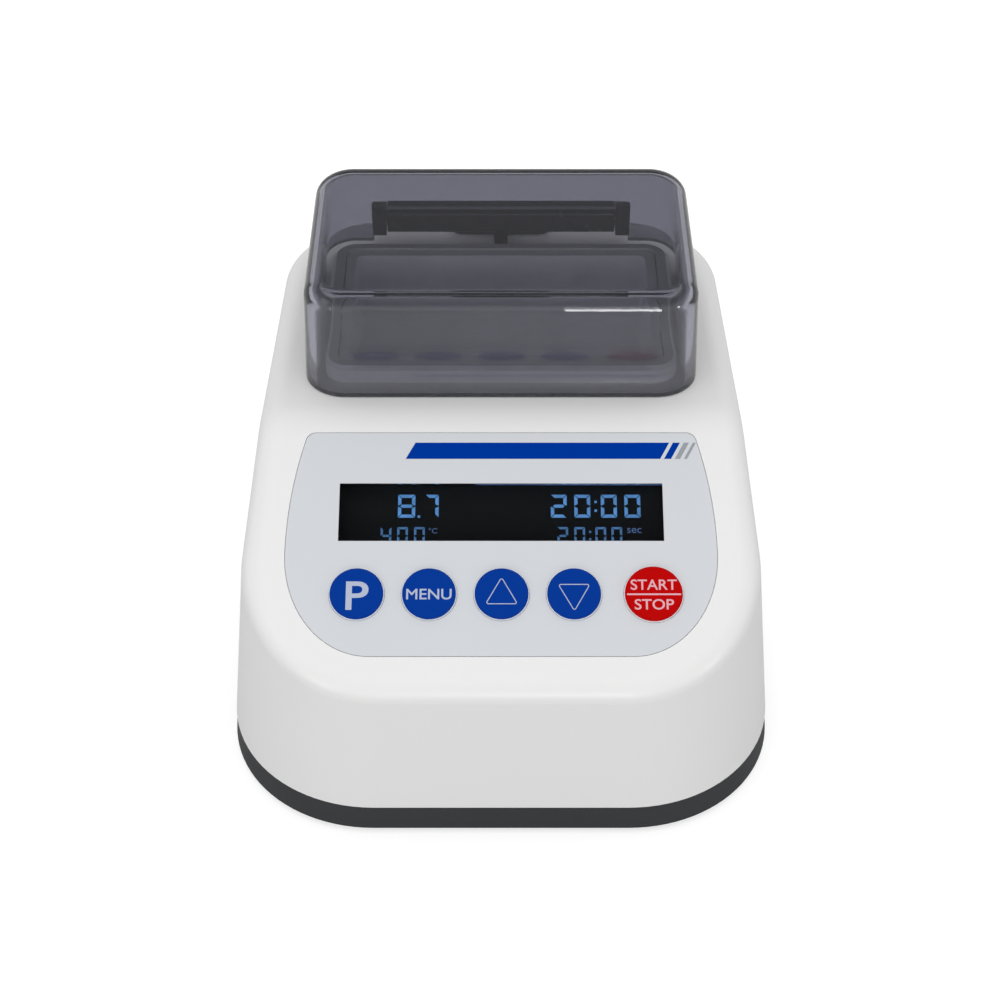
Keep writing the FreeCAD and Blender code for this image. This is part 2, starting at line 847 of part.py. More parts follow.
def make_well_block():
    """Open metal trough with a thick floor, bored for the sensor, on four lugs."""
    outer = rounded_block(2.0 * block_half_width, 2.0 * block_half_length, well_opening_corner,
                          0, well_y, block_bottom, block_rim)
    pocket = rounded_block(2.0 * (block_half_width - block_wall), 2.0 * (block_half_length - block_wall),
                           pocket_corner, 0, well_y, block_rim - pocket_depth, block_rim + overrun)
    block = joined([outer] + lug_block(lug_top - lug_thickness, lug_top)).cut(pocket)
    for x, y in lug_places:
        block = block.cut(upright(well_screw_radius + lip_clearance, x, y,
                                  lug_top - 2.0 * lug_thickness, lug_top + overrun))
    bore = cylinder(probe_radius + probe_clearance,
                    Vector(probe_x, well_y - block_half_length - overrun, probe_z),
                    Vector(probe_x, well_y - block_half_length + probe_depth, probe_z))
    return block.cut(bore)


def make_well_screws():
    return group([screw_from_below(small_head_radius, small_head_height, well_screw_radius,
                                   well_screw_length, x, y, lug_top - lug_thickness)
                  for x, y in lug_places])


def make_heater_pad():
    pad = rounded_block(2.0 * (block_half_width - heater_margin),
                        2.0 * (block_half_length - heater_margin),
                        pocket_corner, 0, well_y, heater_bottom, block_bottom)
    return pad.cut(upright(cutout_flange_radius + cutout_room, 0, well_y,
                           heater_bottom - overrun, block_bottom))


def make_thermal_cutout():
    flange = upright(cutout_flange_radius, 0, well_y, block_bottom - cutout_flange_height, block_bottom)
    can = upright(cutout_radius, 0, well_y, block_bottom - cutout_height,
                  block_bottom - cutout_flange_height)
    legs = []
    for side in (-1, 1):
        x = side * cutout_leg_x
        legs.append(box(x - cutout_leg_width / 2.0, x + cutout_leg_width / 2.0,
                        well_y - cutout_leg_thickness / 2.0, well_y + cutout_leg_thickness / 2.0,
                        jacket_bottom - heater_margin, block_bottom - cutout_height))
    return joined([flange, can] + legs)


def make_temperature_probe():
    return cylinder(probe_radius, Vector(probe_x, probe_mouth_y, probe_z),
                    Vector(probe_x, well_y - block_half_length + probe_depth - probe_clearance, probe_z))


def make_insulation_jacket():
    """Open foam box round the trough, with room in its front for the leads."""
    half_width = block_half_width + jacket_clearance + jacket_thickness
    half_length = block_half_length + jacket_clearance + jacket_thickness
    outer = rounded_block(2.0 * half_width, 2.0 * half_length, jacket_thickness, 0, well_y,
                          jacket_bottom, jacket_top)
    inner = rounded_block(2.0 * (block_half_width + jacket_clearance),
                          2.0 * (block_half_length + jacket_clearance), well_opening_corner, 0, well_y,
                          heater_bottom - lip_clearance, jacket_top + overrun)
    jacket = outer.cut(inner)
    jacket = jacket.cut(upright(cutout_radius + cutout_room, 0, well_y,
                                jacket_bottom - overrun, block_bottom))
    for x in (probe_x, heater_lead_x):
        slot = box(x - jacket_thickness, x + jacket_thickness, well_y - half_length - overrun,
                   well_y - block_half_length, heater_bottom - lip_clearance, jacket_top + overrun)
        jacket = jacket.cut(slot)
    return jacket


def make_hinge_bracket():
    """Bar with rounded edges, on one narrow rib with a foot screwed to the deck."""
    rib_front = hinge_y - bar_depth / 2.0 + bar_corner
    bar = box(-bar_half_length, bar_half_length, hinge_y - bar_depth / 2.0, hinge_y + bar_depth / 2.0,
              hinge_z - bar_height / 2.0, hinge_z + bar_height / 2.0)

    def along_bar(edge):
        ends = [vertex.Point for vertex in edge.Vertexes]
        return abs(ends[0].x - ends[1].x) > bar_half_length

    bar = bar.makeFillet(bar_corner, edges_where(bar, along_bar))
    rib = side_profile([
        (rib_front, hinge_z),
        (rib_front, deck_z),
        (flange_rear, deck_z),
        (flange_rear, deck_z + flange_thickness),
        (hinge_y + bar_depth / 2.0, hinge_z),
    ], -rib_width / 2.0, rib_width / 2.0)
    foot = rounded_block(2.0 * flange_half_width, flange_length, flange_length * end_round,
                         0, hinge_screw_y, deck_z, deck_z + flange_thickness)
    bracket = joined([bar, rib, foot])
    bracket = bracket.cut(cylinder(rod_radius + rod_fit, Vector(-case_width, hinge_y, hinge_z),
                                   Vector(case_width, hinge_y, hinge_z)))
    for sign in (-1, 1):
        bracket = bracket.cut(upright(hinge_screw_radius + window_gap, sign * hinge_screw_x, hinge_screw_y,
                                      deck_z - overrun, deck_z + 2.0 * flange_thickness))
    return bracket


def make_hinge_screws():
    screws = []
    seat = deck_z + flange_thickness
    for sign in (-1, 1):
        x = sign * hinge_screw_x
        head = upright(small_head_radius, x, hinge_screw_y, seat, seat + small_head_height)
        head = head.makeChamfer(small_head_height / 2.0, edges_at_height(head, seat + small_head_height))
        shank = upright(hinge_screw_radius, x, hinge_screw_y, deck_z - wall, seat)
        screws.append(joined([head, shank]))
    return group(screws)


def make_hinge_rod():
    reach = ear_start + ear_bore_depth - ear_running_clearance
    return cylinder(rod_radius, Vector(-reach, hinge_y, hinge_z), Vector(reach, hinge_y, hinge_z))


def lid_form(inset, z0):
    """Drafted box with rounded corners and top edge; drawn in on all sides by inset."""
    top = lid_bottom + lid_height - inset
    middle_y = (lid_front + lid_rear) / 2.0
    sections = []
    for z in (z0, top):
        shrink = 2.0 * (inset + (z - lid_bottom) * math.tan(math.radians(lid_draft)))
        sections.append(rounded_rectangle(lid_width - shrink, lid_length - shrink,
                                          lid_corner - shrink / 2.0, 0, middle_y, z))
    form = Part.makeLoft(sections, True, True)
    return form.makeFillet(lid_edge_radius - inset, edges_at_height(form, top))


def make_lid():
    """Clear cover. Its rear wall stops short of the deck, and two ears hold the rod."""
    shell = lid_form(0.0, lid_bottom).cut(lid_form(lid_wall, lid_bottom - overrun))
    raised = box(-lid_width, lid_width, rear_y - raise_from_rear, lid_rear + wall,
                 lid_bottom - overrun, lid_bottom + rear_raise)
    notch_half = ear_start + ear_thickness - lip_clearance
    notch_top = hinge_z + ear_radius + notch_margin
    notch = box(-notch_half, notch_half, lid_rear - 2.0 * lid_wall, lid_rear + wall,
                lid_bottom - overrun, notch_top)
    shell = shell.cut(raised).cut(notch)
    parts = [shell]
    bores = []
    for sign in (-1, 1):
        inner = sign * ear_start
        outer = sign * (ear_start + ear_thickness)
        parts.append(cylinder(ear_radius, Vector(inner, hinge_y, hinge_z),
                              Vector(outer, hinge_y, hinge_z)))
        arm = side_profile([
            (lid_rear - lid_wall - arm_root, notch_top + arm_rise),
            (lid_rear - lid_wall, hinge_z - ear_radius + notch_margin),
            (hinge_y, hinge_z - ear_radius),
            (hinge_y + ear_radius, hinge_z),
            (lid_rear - arm_setback, notch_top + arm_rise),
        ], min(inner, outer), max(inner, outer))
        parts.append(arm)
        bores.append(cylinder(rod_radius + ear_running_clearance, Vector(0, hinge_y, hinge_z),
                              Vector(sign * (ear_start + ear_bore_depth), hinge_y, hinge_z)))
    lid = joined(parts)
    for bore in bores:
        lid = lid.cut(bore)
    return lid


def make_main_board():
    board = box(-main_board_half_width, main_board_half_width, front_y + main_board_front,
                rear_y - main_board_from_rear, board_z, board_top)
    for x, y in standoff_places:
        board = board.cut(upright(small_screw_radius + window_gap, x, y,
                                  board_z - overrun, board_top + overrun))
    return board


def make_board_screws():
    screws = []
    for x, y in standoff_places:
        head = upright(small_head_radius, x, y, board_top, board_top + small_head_height)
        shank = upright(small_screw_radius, x, y, board_top - small_screw_length, board_top)
        screws.append(joined([head, shank]))
    return group(screws)


def on_board(width, length, height, x, from_front):
    """Plain block on the main board, by its middle."""
    y = front_y + from_front
    return box(x - width / 2.0, x + width / 2.0, y - length / 2.0, y + length / 2.0,
               board_top, board_top + height)


def make_capacitors():
    cans = []
    for x, from_rear, radius, height in capacitor_places:
        cans.append(upright(radius, x, rear_y - from_rear, board_top, board_top + height))
    return group(cans)


def make_board_chips():
    return group([on_board(*sizes) for sizes in chip_places])


def make_board_connectors():
    """Sockets on the main board that the leads plug into, and one under the panel board."""
    ribbon_socket_width = ribbon_width + 2.0 * ribbon_socket_margin
    sockets = [
        on_board(ribbon_socket_width, ribbon_socket_length, connector_height, ribbon_x, ribbon_socket),
        on_board(connector_width, connector_length, connector_height, heater_lead_x, lead_socket),
        on_board(connector_length, connector_length, connector_height, probe_x, lead_socket),
        on_board(connector_width, connector_length, connector_height, inlet_x, rear_socket),
        on_board(connector_width, connector_length, connector_height, switch_x, rear_socket),
    ]
    under = box(ribbon_x - ribbon_socket_width / 2.0, ribbon_x + ribbon_socket_width / 2.0,
                -ribbon_down - ribbon_socket_length / 2.0, -ribbon_down + ribbon_socket_length / 2.0,
                -front_board_depth - board_thickness - connector_height,
                -front_board_depth - board_thickness)
    sockets.append(on_panel(under))
    return group(sockets)


def make_power_transistor():
    return on_board(transistor_width, transistor_thickness, transistor_height,
                    transistor_x, transistor_from_front)


def make_heat_sink():
    """Finned plate that the transistor is clamped to."""
    fin_span = (sink_fin_count - 1) * sink_fin_pitch
    plate_from_front = transistor_from_front + (transistor_thickness + sink_plate) / 2.0
    plates = [on_board(fin_span + sink_fin_thickness, sink_plate, sink_height,
                       transistor_x, plate_from_front)]
    for index in range(sink_fin_count):
        plates.append(on_board(sink_fin_thickness, sink_fin_length, sink_height,
                               transistor_x - fin_span / 2.0 + index * sink_fin_pitch,
                               plate_from_front + sink_fin_length / 2.0))
    return joined(plates)


def make_buzzer():
    y = front_y + buzzer_from_front
    top = board_top + buzzer_height
    drum = upright(buzzer_radius, buzzer_x, y, board_top, top)
    return drum.cut(upright(buzzer_hole_radius, buzzer_x, y, top - buzzer_hole_depth, top + overrun))


def make_power_inlet():
    """Round socket with a flange outside, and a deep bore for the plug."""
    outer = rear_panel_y
    face = outer + inlet_flange_thickness
    body = rearward(inlet_radius, inlet_x, outer - inlet_length, outer)
    flange = rearward(inlet_flange_radius, inlet_x, outer, face)
    bore = rearward(inlet_bore_radius, inlet_x, face - inlet_bore_depth, face + overrun)
    return joined([body, flange]).cut(bore)


def make_inlet_pin():
    start = rear_panel_y + inlet_flange_thickness - inlet_bore_depth
    tip = start + inlet_pin_length
    pin = rearward(inlet_pin_radius, inlet_x, start, tip)
    return pin.makeChamfer(inlet_pin_radius / 4.0, edges_at_depth(pin, tip))


def make_inlet_nut():
    inside = rear_panel_y - rear_panel_thickness
    reach = nut_flats / 2.0 / math.cos(math.radians(30))
    corners = []
    for index in range(6):
        angle = math.radians(60 * index + 30)
        corners.append(Vector(inlet_x + reach * math.cos(angle), inside - nut_thickness,
                              socket_height + reach * math.sin(angle)))
    nut = Part.Face(Part.makePolygon(corners + corners[:1])).extrude(Vector(0, nut_thickness, 0))
    return nut.cut(rearward(inlet_radius, inlet_x, inside - 2.0 * wall, inside + overrun))


def switch_block(width, tall, y0, y1):
    return box(switch_x - width / 2.0, switch_x + width / 2.0, y0, y1,
               socket_height - tall / 2.0, socket_height + tall / 2.0)


def make_switch_frame():
    """Snap-in switch body with a bezel and a well that the rocker tips in."""
    face = rear_panel_y + switch_bezel
    back = rear_panel_y - switch_body_depth
    bezel = switch_block(switch_frame_width, switch_frame_height, rear_panel_y, face)
    bezel = bezel.makeChamfer(switch_bezel / 3.0, edges_at_depth(bezel, face))
    body = switch_block(switch_body_width, switch_body_tall, back, rear_panel_y)
    well = switch_block(rocker_width + 2.0 * rocker_gap, 2.0 * (rocker_reach + rocker_gap),
                        rocker_axis_y - rocker_reach - rocker_gap, face + overrun)
    bearing_reach = Vector(rocker_width / 2.0 + 2.0 * rocker_gap + trunnion_length, 0, 0)
    axis_middle = Vector(switch_x, rocker_axis_y, socket_height)
    bearing = cylinder(trunnion_radius + ear_running_clearance,
                       axis_middle - bearing_reach, axis_middle + bearing_reach)
    blades = []
    for side in (-1, 1):
        x = switch_x + side * switch_body_width / 4.0
        blades.append(box(x - blade_width / 2.0, x + blade_width / 2.0, back - blade_length, back,
                          socket_height - blade_thickness / 2.0, socket_height + blade_thickness / 2.0))
    return joined([bezel, body] + blades).cut(well).cut(bearing)


def make_rocker():
    """Rocker with a shallow V face and two trunnions, tipped to its on side."""
    middle = rocker_tip - rocker_half * math.tan(rocker_lean)
    x0 = switch_x - rocker_width / 2.0

    def at(y, z):
        return Vector(x0, rocker_axis_y + y, socket_height + z)

    outline = Part.Wire([
        Part.makeLine(at(rocker_tip, -rocker_half), at(middle, 0)),
        Part.makeLine(at(middle, 0), at(rocker_tip, rocker_half)),
        Part.Arc(at(rocker_tip, rocker_half), at(-rocker_reach, 0),
                 at(rocker_tip, -rocker_half)).toShape(),
    ])
    body = Part.Face(outline).extrude(Vector(rocker_width, 0, 0))
    trunnions = cylinder(trunnion_radius, at(0, 0) - Vector(trunnion_length + rocker_gap, 0, 0),
                         at(0, 0) + Vector(rocker_width + trunnion_length + rocker_gap, 0, 0))
    rocker = joined([body, trunnions])
    rocker.rotate(Vector(switch_x, rocker_axis_y, socket_height), Vector(1, 0, 0), rocker_angle)
    return rocker


def cut_corners(points, cut):
    """The same run of points with a short slant in place of every corner."""
    eased = [points[0]]
    for before, corner, after in zip(points, points[1:], points[2:]):
        eased.append(corner + (before - corner).normalize() * cut)
        eased.append(corner + (after - corner).normalize() * cut)
    return eased + [points[-1]]


def swept(section, points):
    return Part.makePolygon(cut_corners(points, lead_bend)).makePipeShell([section], True, False, 1)


def lead(points):
    """Six-sided run of insulated wire."""
    run = (points[1] - points[0]).normalize()
    aside = run.cross(Vector(1, 0, 0) if abs(run.x) < 0.5 else Vector(0, 0, 1)).normalize()
    other = run.cross(aside)
    corners = []
    for index in range(6):
        angle = math.radians(60 * index)
        corners.append(points[0] + aside * (lead_radius * math.cos(angle))
                       + other * (lead_radius * math.sin(angle)))
    return swept(Part.makePolygon(corners + corners[:1]), points)


def make_ribbon_cable():
    start = panel_point(ribbon_x, -ribbon_down, -front_board_depth - board_thickness - connector_height)
    way = panel_point(0, 0, -1) - panel_point(0, 0, 0)
    knee = start + way * ribbon_drop
    end = Vector(ribbon_x, front_y + ribbon_socket, board_top + connector_height)
    over = Vector(ribbon_x, end.y, (knee.z + end.z) / 2.0)
    across = Vector(ribbon_width / 2.0, 0, 0)
    side = Vector(0, -way.z, way.y) * (ribbon_thickness / 2.0)
    corners = [start - across - side, start + across - side, start + across + side, start - across + side]
    section = Part.makePolygon(corners + corners[:1])
    return swept(section, [start, knee, over, end])


def drop_to_socket(x, start_y, start_z):
    """Lead that runs forward from under the well and down to its socket."""
    socket_y = front_y + lead_socket
    return [
        Vector(x, start_y, start_z),
        Vector(x, front_y + lead_hang, start_z),
        Vector(x, socket_y, start_z - lead_fall),
        Vector(x, socket_y, board_top + connector_height),
    ]


def make_heater_leads():
    start_y = well_y - block_half_length + heater_margin
    start_z = block_bottom - lead_radius - window_gap
    return group([lead(drop_to_socket(heater_lead_x + side * heater_lead_spread, start_y, start_z))
                  for side in (-1, 1)])


def make_probe_lead():
    return lead(drop_to_socket(probe_x, probe_mouth_y, probe_z))


def rear_leads(x, start_y):
    pair = []
    for side in (-1, 1):
        place = x + side * rear_lead_spread
        end_y = front_y + rear_socket
        pair.append(lead([
            Vector(place, start_y, socket_height),
            Vector(place, end_y, socket_height),
            Vector(place, end_y, board_top + connector_height),
        ]))
    return group(pair)


def make_inlet_leads():
    return rear_leads(inlet_x, rear_panel_y - inlet_length)


def make_switch_leads():
    return rear_leads(switch_x, rear_panel_y - switch_body_depth - blade_length)


nodes = {
    "base_tray": make_base_tray,
    "rubber_feet": make_rubber_feet,
    "case_screws": make_case_screws,
    "top_housing": make_top_housing,
    "control_overlay": make_overlay,
    "display_window": make_display_window,
    "lcd_glass": make_lcd_glass,
    "lcd_holder": make_lcd_holder,
    "front_board": make_front_board,
    "front_board_screws": make_front_board_screws,
    "tact_switches": make_tact_switches,
    "well_block": make_well_block,
    "well_screws": make_well_screws,
    "heater_pad": make_heater_pad,
    "thermal_cutout": make_thermal_cutout,
    "temperature_probe": make_temperature_probe,
    "insulation_jacket": make_insulation_jacket,
    "hinge_bracket": make_hinge_bracket,
    "hinge_screws": make_hinge_screws,
    "hinge_rod": make_hinge_rod,
    "lid": make_lid,
    "main_board": make_main_board,
    "board_screws": make_board_screws,
    "capacitors": make_capacitors,
    "board_chips": make_board_chips,
    "board_connectors": make_board_connectors,
    "power_transistor": make_power_transistor,
    "heat_sink": make_heat_sink,
    "buzzer": make_buzzer,
    "power_inlet": make_power_inlet,
    "inlet_pin": make_inlet_pin,
    "inlet_nut": make_inlet_nut,
    "switch_frame": make_switch_frame,
    "rocker": make_rocker,
    "ribbon_cable": make_ribbon_cable,
    "heater_leads": make_heater_leads,
    "probe_lead": make_probe_lead,
    "inlet_leads": make_inlet_leads,
    "switch_leads": make_switch_leads,
}

if __name__ == "__main__":
    os.makedirs("parts", exist_ok=True)
    for node, make in nodes.items():
        make().exportStep(os.path.join("parts", node + ".step"))
    for name, x, radius in key_sizes():
        make_key(x, radius).exportStep(os.path.join("parts", "button_" + name + ".step"))
        make_plunger(x).exportStep(os.path.join("parts", "plunger_" + name + ".step"))
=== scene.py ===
"""Looks of the dry bath incubator: finishes, print, display, fittings, floor, lamps and camera.

Metres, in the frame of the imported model: X to the right, Y from the key panel to the
rear, Z up from the surface that the feet stand on.
"""
import json
import math

import bmesh
import bpy
from mathutils import Matrix, Vector


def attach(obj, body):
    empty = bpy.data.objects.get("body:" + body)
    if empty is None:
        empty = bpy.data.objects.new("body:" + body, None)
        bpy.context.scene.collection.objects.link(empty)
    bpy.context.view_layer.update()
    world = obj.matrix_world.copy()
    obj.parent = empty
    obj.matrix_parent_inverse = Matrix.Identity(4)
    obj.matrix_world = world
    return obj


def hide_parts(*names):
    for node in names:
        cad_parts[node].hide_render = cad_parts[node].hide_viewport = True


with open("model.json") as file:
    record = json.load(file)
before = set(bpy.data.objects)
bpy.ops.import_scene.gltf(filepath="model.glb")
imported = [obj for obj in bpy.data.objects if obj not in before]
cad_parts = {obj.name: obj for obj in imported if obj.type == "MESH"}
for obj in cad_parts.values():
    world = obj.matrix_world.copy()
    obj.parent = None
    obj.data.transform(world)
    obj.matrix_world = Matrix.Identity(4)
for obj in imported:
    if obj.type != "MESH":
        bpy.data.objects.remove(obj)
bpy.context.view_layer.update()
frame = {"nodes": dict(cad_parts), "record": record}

mm = 0.001

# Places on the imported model, in millimetres
crease_y = -12.5
deck_z = 74.7
panel_slope = 26.0
key_down = 43.9
key_rise = 1.0
key_x = {"program": -32.5, "menu": -16.2, "up": 0.1, "down": 16.4, "start_stop": 34.3}
display_depth = 5.2
key_radius = 6.05
start_key_radius = 6.5
# Size of the pale ring that paints out the shade in the gap round each key
gap_light_width = 0.22
gap_light_height = 0.25
socket_height = 22.5
switch_x = 17.0
rocker_axis_y = 70.4
rocker_half = 4.6
rocker_angle = 11.0
rocker_rise = 1.7
case_screw_places = ((51.5, -41.0), (49.5, 53.0))
case_screw_z = 5.4
hinge_screw_x = 8.5
hinge_screw_y = 65.5
hinge_screw_z = 76.7
lid_axis_y = 58.0
lid_axis_z = 83.5
ear_block_radius = 4.06
ear_block_inner = 29.26
ear_block_outer = 32.74

# The floor lies this far under the feet, so that the two don't share a plane
floor_drop = 0.05

# Ink stands this far off what it is printed on
ink = 0.04
ink_sink = 0.02

panel_frame = Matrix.Translation(Vector((0, crease_y, deck_z)) * mm) @ Matrix.Rotation(
    math.radians(panel_slope), 4, "X")


def at(x, y, z):
    return Vector((x, y, z)) * mm


# Shader node groups


def new_group(name, inputs, outputs):
    """Empty node group with the named sockets, and its two end nodes."""
    group = bpy.data.node_groups.new(name, "ShaderNodeTree")
    kinds = {"colour": "NodeSocketColor", "value": "NodeSocketFloat", "vector": "NodeSocketVector"}
    for socket_name, kind, default in inputs:
        socket = group.interface.new_socket(socket_name, in_out="INPUT", socket_type=kinds[kind])
        socket.default_value = default
    for socket_name, kind in outputs:
        group.interface.new_socket(socket_name, in_out="OUTPUT", socket_type=kinds[kind])
    return group, group.nodes.new("NodeGroupInput"), group.nodes.new("NodeGroupOutput")


def noise(tree, where, scale, detail=3.0, roughness=0.5):
    node = tree.nodes.new("ShaderNodeTexNoise")
    node.inputs["Detail"].default_value = detail
    node.inputs["Roughness"].default_value = roughness
    tree.links.new(where, node.inputs["Vector"])
    if isinstance(scale, float):
        node.inputs["Scale"].default_value = scale
    else:
        tree.links.new(scale, node.inputs["Scale"])
    return node.outputs["Fac"]


def maths(tree, operation, first, second=None, third=None):
    node = tree.nodes.new("ShaderNodeMath")
    node.operation = operation
    for socket, value in zip(node.inputs, (first, second, third)):
        if value is None:
            continue
        if isinstance(value, (int, float)):
            socket.default_value = value
        else:
            tree.links.new(value, socket)
    return node.outputs[0]


def remap(tree, value, low, high, to_low, to_high):
    node = tree.nodes.new("ShaderNodeMapRange")
    node.clamp = True
    for name, setting in (("From Min", low), ("From Max", high), ("To Min", to_low), ("To Max", to_high)):
        if isinstance(setting, (int, float)):
            node.inputs[name].default_value = setting
        else:
            tree.links.new(setting, node.inputs[name])
    tree.links.new(value, node.inputs["Value"])
    return node.outputs["Result"]


def blend_colour(tree, share, first, second):
    node = tree.nodes.new("ShaderNodeMix")
    node.data_type = "RGBA"
    for socket, value in ((node.inputs[0], share), (node.inputs[6], first), (node.inputs[7], second)):
        if isinstance(value, (int, float, tuple)):
            socket.default_value = value
        else:
            tree.links.new(value, socket)
    return node.outputs[2]


def object_place(tree):
    return tree.nodes.new("ShaderNodeTexCoord").outputs["Object"]


def make_moulded_skin():
    """Moulded plastic: faint cloudy colour, a spark-eroded grain, and a roughness that wanders."""
    group, start, end = new_group(
        "moulded skin",
        [("Colour", "colour", (0.8, 0.8, 0.8, 1)), ("Grain per metre", "value", 1800.0),
         ("Cloud", "value", 0.03), ("Roughness", "value", 0.4), ("Roughness spread", "value", 0.06)],
        [("Colour", "colour"), ("Roughness", "value"), ("Height", "value")])
    place = object_place(group)
    sockets = start.outputs
    fine = noise(group, place, sockets["Grain per metre"], 2.0, 0.55)
    cloud = noise(group, place, 22.0, 4.0, 0.55)
    darker = maths(group, "SUBTRACT", 1.0, maths(group, "MULTIPLY", cloud, sockets["Cloud"]))
    shade = group.nodes.new("ShaderNodeVectorMath")
    shade.operation = "SCALE"
    group.links.new(sockets["Colour"], shade.inputs[0])
    group.links.new(darker, shade.inputs["Scale"])
    group.links.new(shade.outputs[0], end.inputs["Colour"])
    swing = maths(group, "MULTIPLY", maths(group, "SUBTRACT", cloud, 0.5), sockets["Roughness spread"])
    group.links.new(maths(group, "ADD", sockets["Roughness"], swing), end.inputs["Roughness"])
    group.links.new(fine, end.inputs["Height"])
    return group


def make_handling():
    """Mask of faint wipe marks and dust specks, from 0 to 1."""
    group, start, end = new_group("handling", [("Amount", "value", 0.5)], [("Mask", "value")])
    place = object_place(group)
    stretch = group.nodes.new("ShaderNodeMapping")
    stretch.inputs["Scale"].default_value = (1.0, 0.25, 1.0)
    stretch.inputs["Rotation"].default_value = (0.0, 0.0, 0.6)
    group.links.new(place, stretch.inputs["Vector"])
    wipe = remap(group, noise(group, stretch.outputs["Vector"], 60.0, 5.0, 0.6), 0.52, 0.75, 0.0, 1.0)
    dust = remap(group, noise(group, place, 1400.0, 1.0, 0.4), 0.74, 0.8, 0.0, 1.0)
    both = maths(group, "MAXIMUM", wipe, dust)
    group.links.new(maths(group, "MULTIPLY", both, start.outputs["Amount"]), end.inputs["Mask"])
    return group


def make_machined():
    """Milled or drawn metal: fine lines along one axis and slow spots of colour."""
    group, start, end = new_group(
        "machined",
        [("Colour", "colour", (0.7, 0.7, 0.7, 1)), ("Line stretch", "vector", (1.0, 30.0, 30.0)),
         ("Lines per metre", "value", 60.0), ("Roughness", "value", 0.3), ("Roughness spread", "value", 0.2)],
        [("Colour", "colour"), ("Roughness", "value"), ("Height", "value")])
    place = object_place(group)
    sockets = start.outputs
    stretch = group.nodes.new("ShaderNodeMapping")
    group.links.new(place, stretch.inputs["Vector"])
    group.links.new(sockets["Line stretch"], stretch.inputs["Scale"])
    lines = noise(group, stretch.outputs["Vector"], sockets["Lines per metre"], 4.0, 0.65)
    spots = noise(group, place, 90.0, 3.0, 0.5)
    shade = group.nodes.new("ShaderNodeVectorMath")
    shade.operation = "SCALE"
    group.links.new(sockets["Colour"], shade.inputs[0])
    both = maths(group, "ADD", lines, spots)
    group.links.new(remap(group, both, 0.6, 1.4, 0.88, 1.04), shade.inputs["Scale"])
    group.links.new(shade.outputs[0], end.inputs["Colour"])
    swing = maths(group, "MULTIPLY", maths(group, "SUBTRACT", lines, 0.5), sockets["Roughness spread"])
    group.links.new(maths(group, "ADD", sockets["Roughness"], swing), end.inputs["Roughness"])
    group.links.new(lines, end.inputs["Height"])
    return group


moulded_skin = make_moulded_skin()
handling = make_handling()
machined = make_machined()


# Materials


def new_material(name):
    """Material with its node tree and its Principled shader."""
    material = bpy.data.materials.new(name)
    material.use_nodes = True
    return material, material.node_tree, material.node_tree.nodes["Principled BSDF"]


def place_group(tree, group, **values):
    node = tree.nodes.new("ShaderNodeGroup")
    node.node_tree = group
    for key, value in values.items():
        node.inputs[key.replace("_", " ").capitalize()].default_value = value
    return node


def bump(tree, shader, height, depth):
    node = tree.nodes.new("ShaderNodeBump")
    node.inputs["Strength"].default_value = 1.0
    node.inputs["Distance"].default_value = depth
    tree.links.new(height, node.inputs["Height"])
    tree.links.new(node.outputs["Normal"], shader.inputs["Normal"])


def plastic(name, colour, grain=1800.0, depth=6e-6, roughness=0.4, cloud=0.03, smudge=0.06, coat=0.0,
            gloss=0.5):
    """Moulded plastic, rubber or film: the values set how coarse, glossy and handled it is."""
    material, tree, shader = new_material(name)
    skin = place_group(tree, moulded_skin, colour=(*colour, 1), grain_per_metre=grain,
                       cloud=cloud, roughness=roughness)
    marks = place_group(tree, handling, amount=smudge)
    tree.links.new(skin.outputs["Colour"], shader.inputs["Base Color"])
    rougher = maths(tree, "ADD", skin.outputs["Roughness"], marks.outputs["Mask"])
    tree.links.new(rougher, shader.inputs["Roughness"])
    shader.inputs["Specular IOR Level"].default_value = gloss
    shader.inputs["Coat Weight"].default_value = coat
    shader.inputs["Coat Roughness"].default_value = 0.12
    bump(tree, shader, skin.outputs["Height"], depth)
    return material


def metal(name, colour, stretch=(1.0, 30.0, 30.0), lines=60.0, roughness=0.3, depth=4e-6, bare=1.0):
    """Metal, of which bare is the share that no matt coating hides."""
    material, tree, shader = new_material(name)
    skin = place_group(tree, machined, colour=(*colour, 1), line_stretch=stretch,
                       lines_per_metre=lines, roughness=roughness)
    shader.inputs["Metallic"].default_value = bare
    tree.links.new(skin.outputs["Colour"], shader.inputs["Base Color"])
    tree.links.new(skin.outputs["Roughness"], shader.inputs["Roughness"])
    bump(tree, shader, skin.outputs["Height"], depth)
    return material


